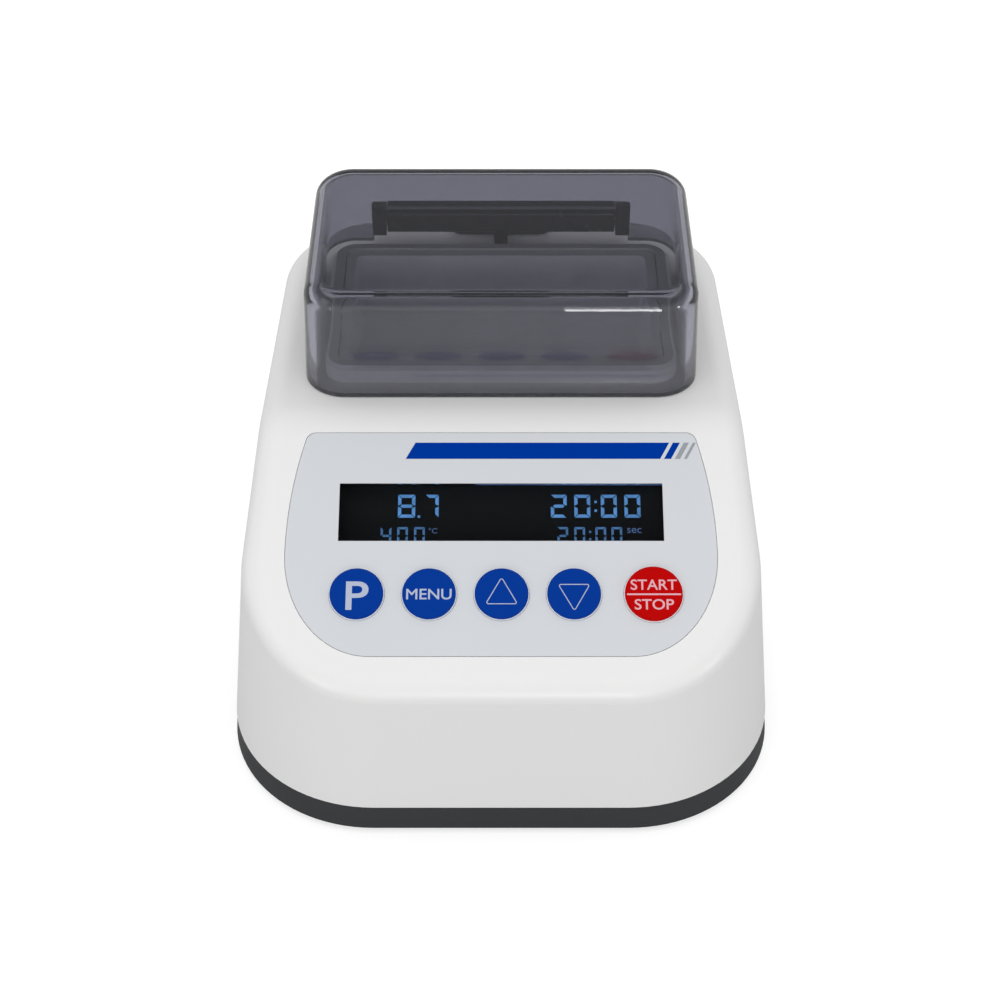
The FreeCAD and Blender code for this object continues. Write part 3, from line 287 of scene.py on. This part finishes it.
def clear(name, colour, ior, roughness, ripple=0.0, through=1.0, shade=0.9, soak=0.0):
    """Clear or tinted plastic with faint wipe marks.

    Its shadow is let through by the share shade, and soak is what each metre inside it takes away.
    """
    material, tree, shader = new_material(name)
    shader.inputs["Base Color"].default_value = (*colour, 1)
    shader.inputs["Transmission Weight"].default_value = through
    shader.inputs["IOR"].default_value = ior
    pass_light = tree.nodes.new("ShaderNodeBsdfTransparent")
    pass_light.inputs["Color"].default_value = (shade, shade, shade, 1)
    choice = tree.nodes.new("ShaderNodeMixShader")
    path = tree.nodes.new("ShaderNodeLightPath")
    tree.links.new(path.outputs["Is Shadow Ray"], choice.inputs["Fac"])
    tree.links.new(shader.outputs["BSDF"], choice.inputs[1])
    tree.links.new(pass_light.outputs["BSDF"], choice.inputs[2])
    tree.links.new(choice.outputs["Shader"], tree.nodes["Material Output"].inputs["Surface"])
    if soak:
        inside = tree.nodes.new("ShaderNodeVolumeAbsorption")
        inside.inputs["Color"].default_value = (0.3, 0.3, 0.38, 1)
        inside.inputs["Density"].default_value = soak
        tree.links.new(inside.outputs["Volume"], tree.nodes["Material Output"].inputs["Volume"])
    marks = place_group(tree, handling, amount=0.02)
    rougher = maths(tree, "ADD", marks.outputs["Mask"], roughness)
    tree.links.new(rougher, shader.inputs["Roughness"])
    if ripple:
        wave = noise(tree, object_place(tree), 35.0, 2.0, 0.4)
        bump(tree, shader, wave, ripple)
    return material


def glowing(name, colour, strength):
    """Lit parts of the display, a little uneven over each stroke."""
    material, tree, shader = new_material(name)
    uneven = noise(tree, object_place(tree), 420.0, 3.0, 0.6)
    shade = blend_colour(tree, remap(tree, uneven, 0.35, 0.65, 0.0, 1.0),
                         (*[c * 0.72 for c in colour], 1), (*colour, 1))
    tree.links.new(shade, shader.inputs["Emission Color"])
    tree.links.new(shade, shader.inputs["Base Color"])
    shader.inputs["Emission Strength"].default_value = strength
    shader.inputs["Roughness"].default_value = 0.5
    return material


def laminate(name, colour, track):
    """Circuit board: tracks show as a slightly lighter, raised maze under the lacquer."""
    material, tree, shader = new_material(name)
    cells = tree.nodes.new("ShaderNodeTexBrick")
    cells.inputs["Scale"].default_value = 140.0
    cells.inputs["Mortar Size"].default_value = 0.05
    for socket, value in (("Color1", colour), ("Color2", colour), ("Mortar", track)):
        cells.inputs[socket].default_value = (*value, 1)
    tree.links.new(object_place(tree), cells.inputs["Vector"])
    tree.links.new(cells.outputs["Color"], shader.inputs["Base Color"])
    marks = place_group(tree, handling, amount=0.1)
    tree.links.new(maths(tree, "ADD", marks.outputs["Mask"], 0.3), shader.inputs["Roughness"])
    bump(tree, shader, cells.outputs["Fac"], 2e-5)
    return material


def foam(name, colour):
    material, tree, shader = new_material(name)
    cells = tree.nodes.new("ShaderNodeTexVoronoi")
    cells.inputs["Scale"].default_value = 900.0
    tree.links.new(object_place(tree), cells.inputs["Vector"])
    shade = blend_colour(tree, cells.outputs["Distance"], (*colour, 1), (*[c * 0.5 for c in colour], 1))
    tree.links.new(shade, shader.inputs["Base Color"])
    shader.inputs["Roughness"].default_value = 0.95
    bump(tree, shader, cells.outputs["Distance"], 2e-4)
    return material


white = plastic("white case plastic", (0.78, 0.775, 0.775), grain=1500.0, depth=5e-6, roughness=0.3,
                cloud=0.02)
tray = plastic("dark grey tray plastic", (0.032, 0.034, 0.037), grain=1100.0, depth=2.5e-5, roughness=0.6,
               cloud=0.1, gloss=0.25)
rubber = plastic("foot rubber", (0.02, 0.02, 0.02), grain=700.0, depth=3e-5, roughness=0.75, cloud=0.2)
film = plastic("panel film", (0.602, 0.622, 0.652), grain=2400.0, depth=4e-6, roughness=0.36, cloud=0.02)
blue = plastic("blue key plastic", (0.0, 0.036, 0.28), grain=2600.0, depth=2e-6, roughness=0.28,
               cloud=0.06, coat=0.02, gloss=0.03)
red = plastic("red key plastic", (0.46, 0.0, 0.0), grain=2600.0, depth=2e-6, roughness=0.28,
              cloud=0.06, coat=0.02, gloss=0.03)
holder = plastic("display holder plastic", (0.6, 0.6, 0.58), roughness=0.45)
black = plastic("black fitting plastic", (0.018, 0.018, 0.019), grain=900.0, depth=1.5e-5, roughness=0.42,
                cloud=0.15)
hinge_plastic = plastic("dark hinge plastic", (0.038, 0.038, 0.043), grain=900.0, depth=1e-5,
                        roughness=0.25, cloud=0.1)
nylon = plastic("natural nylon", (0.7, 0.68, 0.6), roughness=0.5)
silicone = plastic("red silicone", (0.42, 0.05, 0.02), grain=900.0, depth=3e-5, roughness=0.6)
black_wire = plastic("black wire insulation", (0.02, 0.02, 0.02), grain=600.0, depth=5e-6, roughness=0.45)
grey_ribbon = plastic("grey ribbon cable", (0.42, 0.42, 0.42), grain=600.0, depth=1e-5, roughness=0.5)
can_sleeve = plastic("capacitor sleeve", (0.01, 0.015, 0.06), roughness=0.3)
white_ink = plastic("white ink", (0.72, 0.74, 0.78), grain=3000.0, depth=1e-6, roughness=0.4, cloud=0.05)
pale_blue_ink = plastic("pale blue ink", (0.42, 0.47, 0.6), grain=3000.0, depth=1e-6, roughness=0.4,
                        cloud=0.05)
pale_red_ink = plastic("pale red ink", (0.72, 0.4, 0.45), grain=3000.0, depth=1e-6, roughness=0.4,
                       cloud=0.05)
blue_ink = plastic("blue ink", (0.0, 0.034, 0.3), grain=3000.0, depth=1e-6, roughness=0.38, cloud=0.05,
                   gloss=0.0)
# Pale colour painted over the shade in the key gaps, standing in for a lit rim round each key
gap_light_paint = plastic("painted light key gap ring", (0.82, 0.85, 0.9), grain=2000.0, depth=2e-6, roughness=0.25, cloud=0.02)
grey_ink = plastic("grey ink", (0.3, 0.33, 0.36), grain=3000.0, depth=1e-6, roughness=0.4, cloud=0.05)
display_black = plastic("display glass", (0.0095, 0.0115, 0.014), grain=2000.0, depth=5e-7, roughness=0.3,
                        cloud=0.2, gloss=0.12)
lit = glowing("lit segments", (0.09, 0.26, 0.57), 0.58)
half_lit = glowing("half lit segments", (0.07, 0.2, 0.44), 0.48)
dim = glowing("dim segments", (0.08, 0.16, 0.36), 0.5)
window_pane = clear("clear window", (0.97, 0.98, 0.99), 1.18, 0.01)
smoke = clear("smoke lid plastic", (0.5, 0.505, 0.545), 1.49, 0.004, ripple=3e-6, through=0.97, shade=1.0,
              soak=200.0)
blasted = metal("blasted aluminium", (0.95, 0.95, 0.97), (4.0, 40.0, 40.0), 45.0, 0.75, bare=0.6)
extruded = metal("extruded aluminium", (0.62, 0.62, 0.63), (30.0, 30.0, 1.0), 60.0, 0.3)
zinc = metal("zinc-plated steel", (0.6, 0.6, 0.58), (20.0, 20.0, 20.0), 80.0, 0.28)
nickel = metal("nickel-plated brass", (0.72, 0.68, 0.58), (20.0, 1.0, 20.0), 90.0, 0.2)
board = laminate("circuit board", (0.01, 0.09, 0.035), (0.03, 0.16, 0.06))
grey_foam = foam("grey foam", (0.1, 0.1, 0.1))

finish_of_slot = {
    "case_white": white,
    "tray_grey": tray,
    "foot_rubber": rubber,
    "panel_film": film,
    "window_clear": window_pane,
    "display_black": display_black,
    "holder_white": holder,
    "board_green": board,
    "steel": zinc,
    "switch_black": black,
    "plunger_black": black,
    "key_blue": blue,
    "key_red": red,
    "well_metal": blasted,
    "sink_metal": extruded,
    "heater_red": silicone,
    "cutout_metal": zinc,
    "foam_grey": grey_foam,
    "hinge_dark": hinge_plastic,
    "lid_smoke": smoke,
    "can_blue": can_sleeve,
    "connector_white": nylon,
    "pin_metal": nickel,
    "lead_black": black_wire,
    "ribbon_grey": grey_ribbon,
}


def dress_the_nodes():
    """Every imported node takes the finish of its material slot."""
    for part in frame["record"]["subparts"]:
        node = frame["nodes"][part["node"]]
        node.data.materials.clear()
        node.data.materials.append(finish_of_slot[part["material_slot"]])


# Flat shapes printed on, or standing off, a surface


def slab(name, outlines, low, high, finish, body, place=panel_frame):
    """Thin solid of one or more closed outlines, given in millimetres in the frame of place."""
    mesh = bmesh.new()
    for outline in outlines:
        lower = [mesh.verts.new((x * mm, y * mm, low * mm)) for x, y in outline]
        upper = [mesh.verts.new((x * mm, y * mm, high * mm)) for x, y in outline]
        count = len(outline)
        mesh.faces.new(upper)
        mesh.faces.new(lower[::-1])
        for index in range(count):
            after = (index + 1) % count
            mesh.faces.new((lower[index], lower[after], upper[after], upper[index]))
    bmesh.ops.recalc_face_normals(mesh, faces=mesh.faces)
    return piece(name, mesh, finish, body, place)


def piece(name, mesh, finish, body, place):
    """Turns a bmesh into a finished piece that rides on a body."""
    data = bpy.data.meshes.new(name)
    mesh.to_mesh(data)
    mesh.free()
    data.transform(place)
    data.materials.append(finish)
    made = bpy.data.objects.new(name, data)
    bpy.context.scene.collection.objects.link(made)
    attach(made, body)
    return made


def ring_band(outline, width):
    """Quads of a line of that width that follows a closed outline."""
    count = len(outline)
    inner = []
    outer = []
    for index in range(count):
        before = Vector(outline[index - 1])
        here = Vector(outline[index])
        after = Vector(outline[(index + 1) % count])
        first = (here - before).normalized()
        second = (after - here).normalized()
        aside = Vector((first.y + second.y, -first.x - second.x)).normalized()
        reach = width / 2.0 / max(0.3, aside.dot(Vector((first.y, -first.x))))
        inner.append(here - aside * reach)
        outer.append(here + aside * reach)
    return [(inner[index], outer[index], outer[(index + 1) % count], inner[(index + 1) % count])
            for index in range(count)]


def rounded_corners(corners, radius, steps=6):
    """Closed outline through the corners, each taken round."""
    outline = []
    count = len(corners)
    for index in range(count):
        before = Vector(corners[index - 1])
        here = Vector(corners[index])
        after = Vector(corners[(index + 1) % count])
        back = (before - here).normalized()
        on = (after - here).normalized()
        half = back.angle(on) / 2.0
        middle = here + (back + on).normalized() * (radius / math.sin(half))
        start = here + back * (radius / math.tan(half)) - middle
        end = here + on * (radius / math.tan(half)) - middle
        turn = math.atan2(start.x * end.y - start.y * end.x, start.dot(end))
        for step in range(steps + 1):
            angle = turn * step / steps
            c, s = math.cos(angle), math.sin(angle)
            outline.append(middle + Vector((start.x * c - start.y * s, start.x * s + start.y * c)))
    return outline


def lettering(name, words, x, y, width, height, low, high, finish, body, bold=0.01):
    """Printed words, fitted to a width and height in the panel's frame.

    The strokes gain their weight from a bevel, so that no outline crosses itself.
    """
    curve = bpy.data.curves.new(name, "FONT")
    curve.body = words
    curve.align_x = "CENTER"
    curve.extrude = 0.01
    curve.bevel_depth = bold
    curve.bevel_resolution = 0
    curve.resolution_u = 6
    maker = bpy.data.objects.new(name, curve)
    raised = bpy.data.meshes.new_from_object(maker)
    mesh = bmesh.new()
    mesh.from_mesh(raised)
    spans = []
    for axis, size, spot in ((0, width, x), (1, height, y), (2, high - low, (high + low) / 2.0)):
        values = [vert.co[axis] for vert in mesh.verts]
        spans.append(((min(values) + max(values)) / 2.0, size / (max(values) - min(values)), spot))
    for vert in mesh.verts:
        vert.co = Vector([(vert.co[axis] - middle) * scale + spot
                          for axis, (middle, scale, spot) in enumerate(spans)]) * mm
    for face in mesh.faces:
        face.smooth = False
    bpy.data.objects.remove(maker)
    bpy.data.curves.remove(curve)
    bpy.data.meshes.remove(raised)
    return piece(name, mesh, finish, body, panel_frame)


# Display: seven-segment figures, with segments lettered a to g from the top, clockwise

lit_segments = {"0": "abcdef", "2": "abged", "4": "fgbc", "7": "abc", "8": "abcdefg"}
# Height and stroke of the figures in each row, the top of each row, and the lower row's width
upper_size = (5.75, 0.78)
lower_size = (4.4, 0.55)
upper_top = -17.5
lower_top = -25.6
lower_width = 2.5
upper_dot = 0.57
lower_dot = 0.5


def segment_outlines(figure, x, width, top, size):
    """Outlines of one figure's lit segments, mitred where they meet."""
    height, stroke = size
    gap = stroke * 0.17
    left = x - width / 2.0
    right = x + width / 2.0
    bottom = top - height
    middle = (top + bottom) / 2.0
    half = stroke / 2.0

    def across(y_out, inward):
        return [(left + gap, y_out), (right - gap, y_out), (right - stroke - gap, y_out + inward),
                (left + stroke + gap, y_out + inward)]

    def up(x_out, inward, low, high, low_cut, high_cut):
        return [(x_out, low + gap), (x_out + inward, low + low_cut + gap),
                (x_out + inward, high - high_cut - gap), (x_out, high - gap)]

    shapes = {
        "a": across(top, -stroke),
        "d": across(bottom, stroke),
        "g": [(left + half + gap, middle), (left + stroke + gap, middle + half),
              (right - stroke - gap, middle + half), (right - half - gap, middle),
              (right - stroke - gap, middle - half), (left + stroke + gap, middle - half)],
        "b": up(right, -stroke, middle, top, half, stroke),
        "c": up(right, -stroke, bottom, middle, stroke, half),
        "f": up(left, stroke, middle, top, half, stroke),
        "e": up(left, stroke, bottom, middle, stroke, half),
    }
    return [shapes[letter] for letter in lit_segments[figure]]


def square(x, y, size):
    half = size / 2.0
    return [(x - half, y - half), (x + half, y - half), (x + half, y + half), (x - half, y + half)]


def make_display():
    """Lit figures on the display glass, its small units, and the edge of the light behind it."""
    low = -display_depth - ink_sink
    high = -display_depth + ink
    shapes = []
    for figure, x, width in (("8", -21.87, 4.0), ("7", -16.0, 3.1), ("2", 13.35, 3.7), ("0", 18.8, 3.7),
                             ("0", 24.95, 3.7), ("0", 30.4, 3.7)):
        shapes += segment_outlines(figure, x, width, upper_top, upper_size)
    shapes.append(square(-19.0, upper_top - 5.5, upper_dot))
    for y in (upper_top - 1.8, upper_top - 4.0):
        shapes.append(square(21.9, y, upper_dot))
    slab("display_figures_upper", shapes, low, high, lit, "case")
    shapes = []
    for figure, x in (("4", -26.5), ("0", -22.7), ("0", -18.8), ("2", 14.2), ("0", 18.1), ("0", 22.95),
                      ("0", 26.65)):
        shapes += segment_outlines(figure, x, lower_width, lower_top, lower_size)
    for y in (lower_top - 1.2, lower_top - 3.0):
        shapes.append(square(20.5, y, lower_dot))
    slab("display_figures_lower", shapes, low, high, half_lit, "case")
    lettering("display_unit_left", "°C", -15.7, -26.5, 2.0, 1.35, low, high, dim, "case",
              bold=0.0)
    lettering("display_unit_right", "sec", 30.7, -26.45, 3.3, 1.25, low, high, dim, "case",
              bold=0.0)
    slab("display_light_edge", [[(-6.0, -14.85), (37.5, -14.85), (37.5, -15.1), (-6.0, -15.02)]],
         low, high, dim, "case")


# Print on the panel and the keys


def make_stripe():
    """Blue stripe with a slanted start, and plain slanted bars that fade out at its end."""
    top = -6.4
    bottom = -10.5
    slant = 2.2
    start = -19.85
    end = 39.0
    slab("panel_stripe", [[(start, top), (start - slant, bottom), (end - slant, bottom), (end, top)]],
         -ink_sink, ink, blue_ink, "case")
    for number, (left, width, finish) in enumerate(((39.9, 1.6, blue_ink), (42.4, 1.2, grey_ink),
                                                    (44.5, 0.7, grey_ink))):
        slab("panel_bar_%d" % (number + 1),
             [[(left, top), (left - slant, bottom), (left + width - slant, bottom), (left + width, top)]],
             -ink_sink, ink, finish, "case")


def make_key_signs():
    low = key_rise - ink_sink
    high = key_rise + ink
    y = -key_down
    x = key_x["program"]
    lettering("sign_program", "P", x + 0.2, y - 0.65, 5.1, 6.8, low, high, pale_blue_ink, "key_program",
              bold=0.012)
    x = key_x["menu"]
    lettering("sign_menu", "MENU", x, y - 0.3, 10.2, 2.55, low, high, pale_blue_ink, "key_menu")
    for name, sign, base in (("up", 1, -2.6), ("down", -1, 2.03)):
        x = key_x[name]
        corners = [(x - 3.55, y + base), (x + 3.55, y + base), (x, y + base + sign * 6.3)]
        if sign < 0:
            corners = corners[::-1]
        slab("sign_" + name, ring_band(rounded_corners(corners, 0.35), 0.2), low, high, pale_blue_ink,
             "key_" + name)
    x = key_x["start_stop"]
    for name, words, rise, width in (("sign_start", "START", 1.97, 10.4), ("sign_stop", "STOP", -2.73, 8.8)):
        lettering(name, words, x, y + rise, width, 2.5, low, high, pale_red_ink, "key_start_stop")
    slab("sign_line", [[(x - 6.05, y - 0.52), (x + 6.05, y - 0.52), (x + 6.05, y - 0.14),
                        (x - 6.05, y - 0.14)]],
         low, high, pale_red_ink, "key_start_stop")


def circle(x, y, radius, steps=72):
    return [(x + radius * math.cos(math.tau * step / steps), y + radius * math.sin(math.tau * step / steps))
            for step in range(steps)]


def make_key_gap_light_rings():
    """Pale ring of painted light: it fills most of the gap round each key, where shade would fall, and paints
    a light rim round the key.
    """
    for name, x in key_x.items():
        radius = (start_key_radius if name == "start_stop" else key_radius) + gap_light_width / 2.0
        slab("key_gap_light_ring_" + name, ring_band(circle(x, -key_down, radius), gap_light_width), -0.4, gap_light_height,
             gap_light_paint, "key_" + name)


# Fittings


def revolved(profile, steps):
    """Closed bmesh turned about Z from (radius, height) points that start and end on the axis."""
    mesh = bmesh.new()
    rings = []
    for radius, height in profile:
        if radius == 0:
            rings.append([mesh.verts.new(at(0, 0, height))])
            continue
        rings.append([mesh.verts.new(at(radius * math.cos(math.tau * step / steps),
                                        radius * math.sin(math.tau * step / steps), height))
                      for step in range(steps)])
    for low, high in zip(rings, rings[1:]):
        for step in range(steps):
            after = (step + 1) % steps
            corners = [low[step % len(low)], low[after % len(low)], high[after % len(high)],
                       high[step % len(high)]]
            mesh.faces.new(list(dict.fromkeys(corners)))
    bmesh.ops.recalc_face_normals(mesh, faces=mesh.faces)
    return mesh


def box_into(mesh, low, high):
    made = bmesh.ops.create_cube(mesh, size=1.0)
    size = Vector(high) - Vector(low)
    middle = (Vector(high) + Vector(low)) / 2.0
    for vert in made["verts"]:
        vert.co = Vector((vert.co.x * size.x + middle.x, vert.co.y * size.y + middle.y,
                          vert.co.z * size.z + middle.z))


def cross_recess_screw(head_radius, head_height, shank_radius, length):
    """Screw that stands on its shank, with a rounded head above it and a cross recess in that."""
    crown = []
    for step in range(7):
        angle = math.radians(15.0 * step)
        crown.append((head_radius - 0.55 * head_height * (1.0 - math.cos(angle)),
                      head_height * (0.45 + 0.55 * math.sin(angle))))
    solid = revolved([(0, -length), (shank_radius * 0.7, -length), (shank_radius, -length + 0.6),
                      (shank_radius, 0), (head_radius, 0)] + crown + [(0, head_height)], 40)
    wing = head_radius * 0.58
    slim = head_radius * 0.13
    depth = head_height * 0.35
    cutter = bmesh.new()
    box_into(cutter, at(-wing, -slim, depth), at(wing, slim, 2.0 * head_height))
    box_into(cutter, at(-slim, -wing, depth), at(slim, wing, 2.0 * head_height))
    holders = []
    for label, shape in (("screw", solid), ("recess", cutter)):
        data = bpy.data.meshes.new(label)
        shape.to_mesh(data)
        shape.free()
        holder = bpy.data.objects.new(label, data)
        bpy.context.scene.collection.objects.link(holder)
        holders.append(holder)
    cut = holders[0].modifiers.new("recess", "BOOLEAN")
    cut.object = holders[1]
    cut.operation = "DIFFERENCE"
    cut.use_self = True
    bpy.context.view_layer.update()
    finished = bpy.data.meshes.new_from_object(
        holders[0].evaluated_get(bpy.context.evaluated_depsgraph_get()))
    for holder in holders:
        bpy.data.objects.remove(holder)
    return finished


def make_screws():
    """Cross-recess screws in place of the plain ones under the tray and on the hinge's foot."""
    sets = (
        ("case_screws_cross", "case_screws", cross_recess_screw(2.8, 2.0, 1.5, 16.0),
         [(sign * x, y, case_screw_z) for x, y in case_screw_places for sign in (-1, 1)], math.pi),
        ("hinge_screws_cross", "hinge_screws", cross_recess_screw(2.2, 1.6, 1.2, 4.5),
         [(sign * hinge_screw_x, hinge_screw_y, hinge_screw_z) for sign in (-1, 1)], 0.0),
    )
    for name, node, shape, places, flip in sets:
        mesh = bmesh.new()
        for number, (x, y, z) in enumerate(places):
            copy = shape.copy()
            copy.transform(Matrix.Translation(at(x, y, z)) @ Matrix.Rotation(flip, 4, "X")
                           @ Matrix.Rotation(0.6 * number, 4, "Z"))
            mesh.from_mesh(copy)
        for face in mesh.faces:
            face.smooth = False
        made = piece(name, mesh, zinc, "case", Matrix.Identity(4))
        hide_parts(node)


def make_hinge_blocks():
    """Dark blocks that case the lid's two ears and their arms."""
    outline = [(53.6, 80.25)]
    for step in range(-9, 9):
        angle = math.radians(10.0 * step)
        outline.append((lid_axis_y + ear_block_radius * math.cos(angle),
                        lid_axis_z + ear_block_radius * math.sin(angle)))
    outline += [(55.8, 89.36), (53.0, 89.36)]
    from_the_side = Matrix(((0, 0, 1, 0), (1, 0, 0, 0), (0, 1, 0, 0), (0, 0, 0, 1)))
    for name, side in (("hinge_block_left", -1), ("hinge_block_right", 1)):
        ends = sorted((side * ear_block_inner, side * ear_block_outer))
        slab(name, [outline], ends[0], ends[1], hinge_plastic, "lid_cover",
             from_the_side)


def make_rocker_signs():
    """The usual bar and ring for on and off, on the rocker's two faces."""
    lean = math.radians(rocker_angle)
    tip = (rocker_rise + rocker_half * math.sin(lean)) / math.cos(lean)
    tipped = (Matrix.Translation(at(switch_x, rocker_axis_y, socket_height))
              @ Matrix.Rotation(lean, 4, "X"))
    facing_rear = Matrix(((-1, 0, 0, 0), (0, 0, 1, 0), (0, 1, 0, 0), (0, 0, 0, 1)))
    for name, side, outlines in (
            ("rocker_sign_on", 1, [[(-0.28, -1.2), (0.28, -1.2), (0.28, 1.2), (-0.28, 1.2)]]),
            ("rocker_sign_off", -1, ring_band(circle(0, 0, 1.15, 48), 0.42))):
        middle = tip - rocker_half / 2.0 * math.tan(lean)
        face = (Matrix.Translation(at(0, middle, side * rocker_half / 2.0))
                @ Matrix.Rotation(-side * lean, 4, "X") @ facing_rear)
        slab(name, outlines, -ink_sink, ink, white_ink, "power_rocker", tipped @ face)


# Stage: floor, world, lamps and camera


def make_floor():
    """Floor that looks white and keeps the shadow, but is less bright in reflections."""
    mesh = bmesh.new()
    bmesh.ops.create_grid(mesh, x_segments=1, y_segments=1, size=6.0,
                          matrix=Matrix.Translation(at(0, 0, -floor_drop)))
    data = bpy.data.meshes.new("floor")
    mesh.to_mesh(data)
    mesh.free()
    material, tree, shader = new_material("pale floor")
    shader.inputs["Base Color"].default_value = (0.46, 0.46, 0.46, 1)
    shader.inputs["Roughness"].default_value = 0.9
    path = tree.nodes.new("ShaderNodeLightPath")
    seen = maths(tree, "MAXIMUM", path.outputs["Is Camera Ray"], path.outputs["Is Transmission Ray"])
    shader.inputs["Emission Color"].default_value = (1, 1, 1, 1)
    shown = maths(tree, "MULTIPLY", seen, 0.65)
    mirrored = maths(tree, "MULTIPLY", path.outputs["Is Glossy Ray"], 0.25)
    tree.links.new(maths(tree, "ADD", shown, mirrored), shader.inputs["Emission Strength"])
    data.materials.append(material)
    floor = bpy.data.objects.new("floor", data)
    bpy.context.scene.collection.objects.link(floor)


def make_world():
    """White where it is seen; in reflections darker overhead and behind, and graded where it lights."""
    world = bpy.data.worlds.new("studio")
    bpy.context.scene.world = world
    world.use_nodes = True
    tree = world.node_tree
    background = tree.nodes["Background"]
    path = tree.nodes.new("ShaderNodeLightPath")
    seen = maths(tree, "MAXIMUM", path.outputs["Is Camera Ray"], path.outputs["Is Transmission Ray"])
    seen = maths(tree, "MAXIMUM", seen, path.outputs["Is Glossy Ray"])
    place = tree.nodes.new("ShaderNodeTexCoord").outputs["Generated"]
    split = tree.nodes.new("ShaderNodeSeparateXYZ")
    tree.links.new(place, split.inputs[0])
    mirrored = remap(tree, split.outputs["Z"], 0.3, 0.62, 1.0, 0.12)
    mirrored = maths(tree, "MULTIPLY", mirrored, remap(tree, split.outputs["Y"], 0.2, 0.7, 1.0, 0.5))
    shown = blend_colour(tree, path.outputs["Is Glossy Ray"], (1, 1, 1, 1), mirrored)
    cast = remap(tree, split.outputs["Z"], 0.1, 0.9, 0.59, 1.43)
    aside = maths(tree, "ABSOLUTE", split.outputs["X"])
    cast = maths(tree, "MULTIPLY", cast, remap(tree, aside, 0.3, 0.9, 1.0, 0.7))
    cast = maths(tree, "MULTIPLY", cast, remap(tree, split.outputs["Y"], -0.6, 0.6, 1.1, 0.78))
    value = blend_colour(tree, seen, cast, shown)
    tree.links.new(value, background.inputs["Color"])


def make_lamp(name, where, aim, size, power):
    data = bpy.data.lights.new(name, "AREA")
    data.shape = "RECTANGLE"
    data.size, data.size_y = size
    data.energy = power
    lamp = bpy.data.objects.new(name, data)
    lamp.location = where
    lamp.rotation_euler = (Vector(aim) - Vector(where)).to_track_quat("-Z", "Y").to_euler()
    bpy.context.scene.collection.objects.link(lamp)


def make_camera():
    data = bpy.data.cameras.new("camera")
    data.sensor_width = 36.0
    data.lens = 72.0
    camera = bpy.data.objects.new("camera", data)
    camera.location = at(-0.25, -377.3, 366.4)
    camera.rotation_euler = (math.radians(49.0), 0.0, 0.0)
    bpy.context.scene.collection.objects.link(camera)
    bpy.context.scene.camera = camera


dress_the_nodes()
make_display()
make_stripe()
make_key_signs()
make_key_gap_light_rings()
make_screws()
make_hinge_blocks()
make_rocker_signs()
make_floor()
make_world()
make_lamp("lamp_left", (-0.9, -0.5, 0.8), (0, 0, 0.05), (0.5, 0.5), 0.8)
make_lamp("strip_right", (0.118, -1.5, 0.2), (0.03, 0, 0.1), (0.11, 0.3), 1.6)
make_lamp("spot_far_left", (-0.84, -1.24, 0.2), (0, 0, 0.1), (0.12, 0.12), 1.3)
make_lamp("spot_far_right", (1.2, -0.85, 0.2), (0, 0, 0.1), (0.12, 0.12), 1.1)
make_camera()
bpy.context.scene.view_settings.view_transform = "Standard"
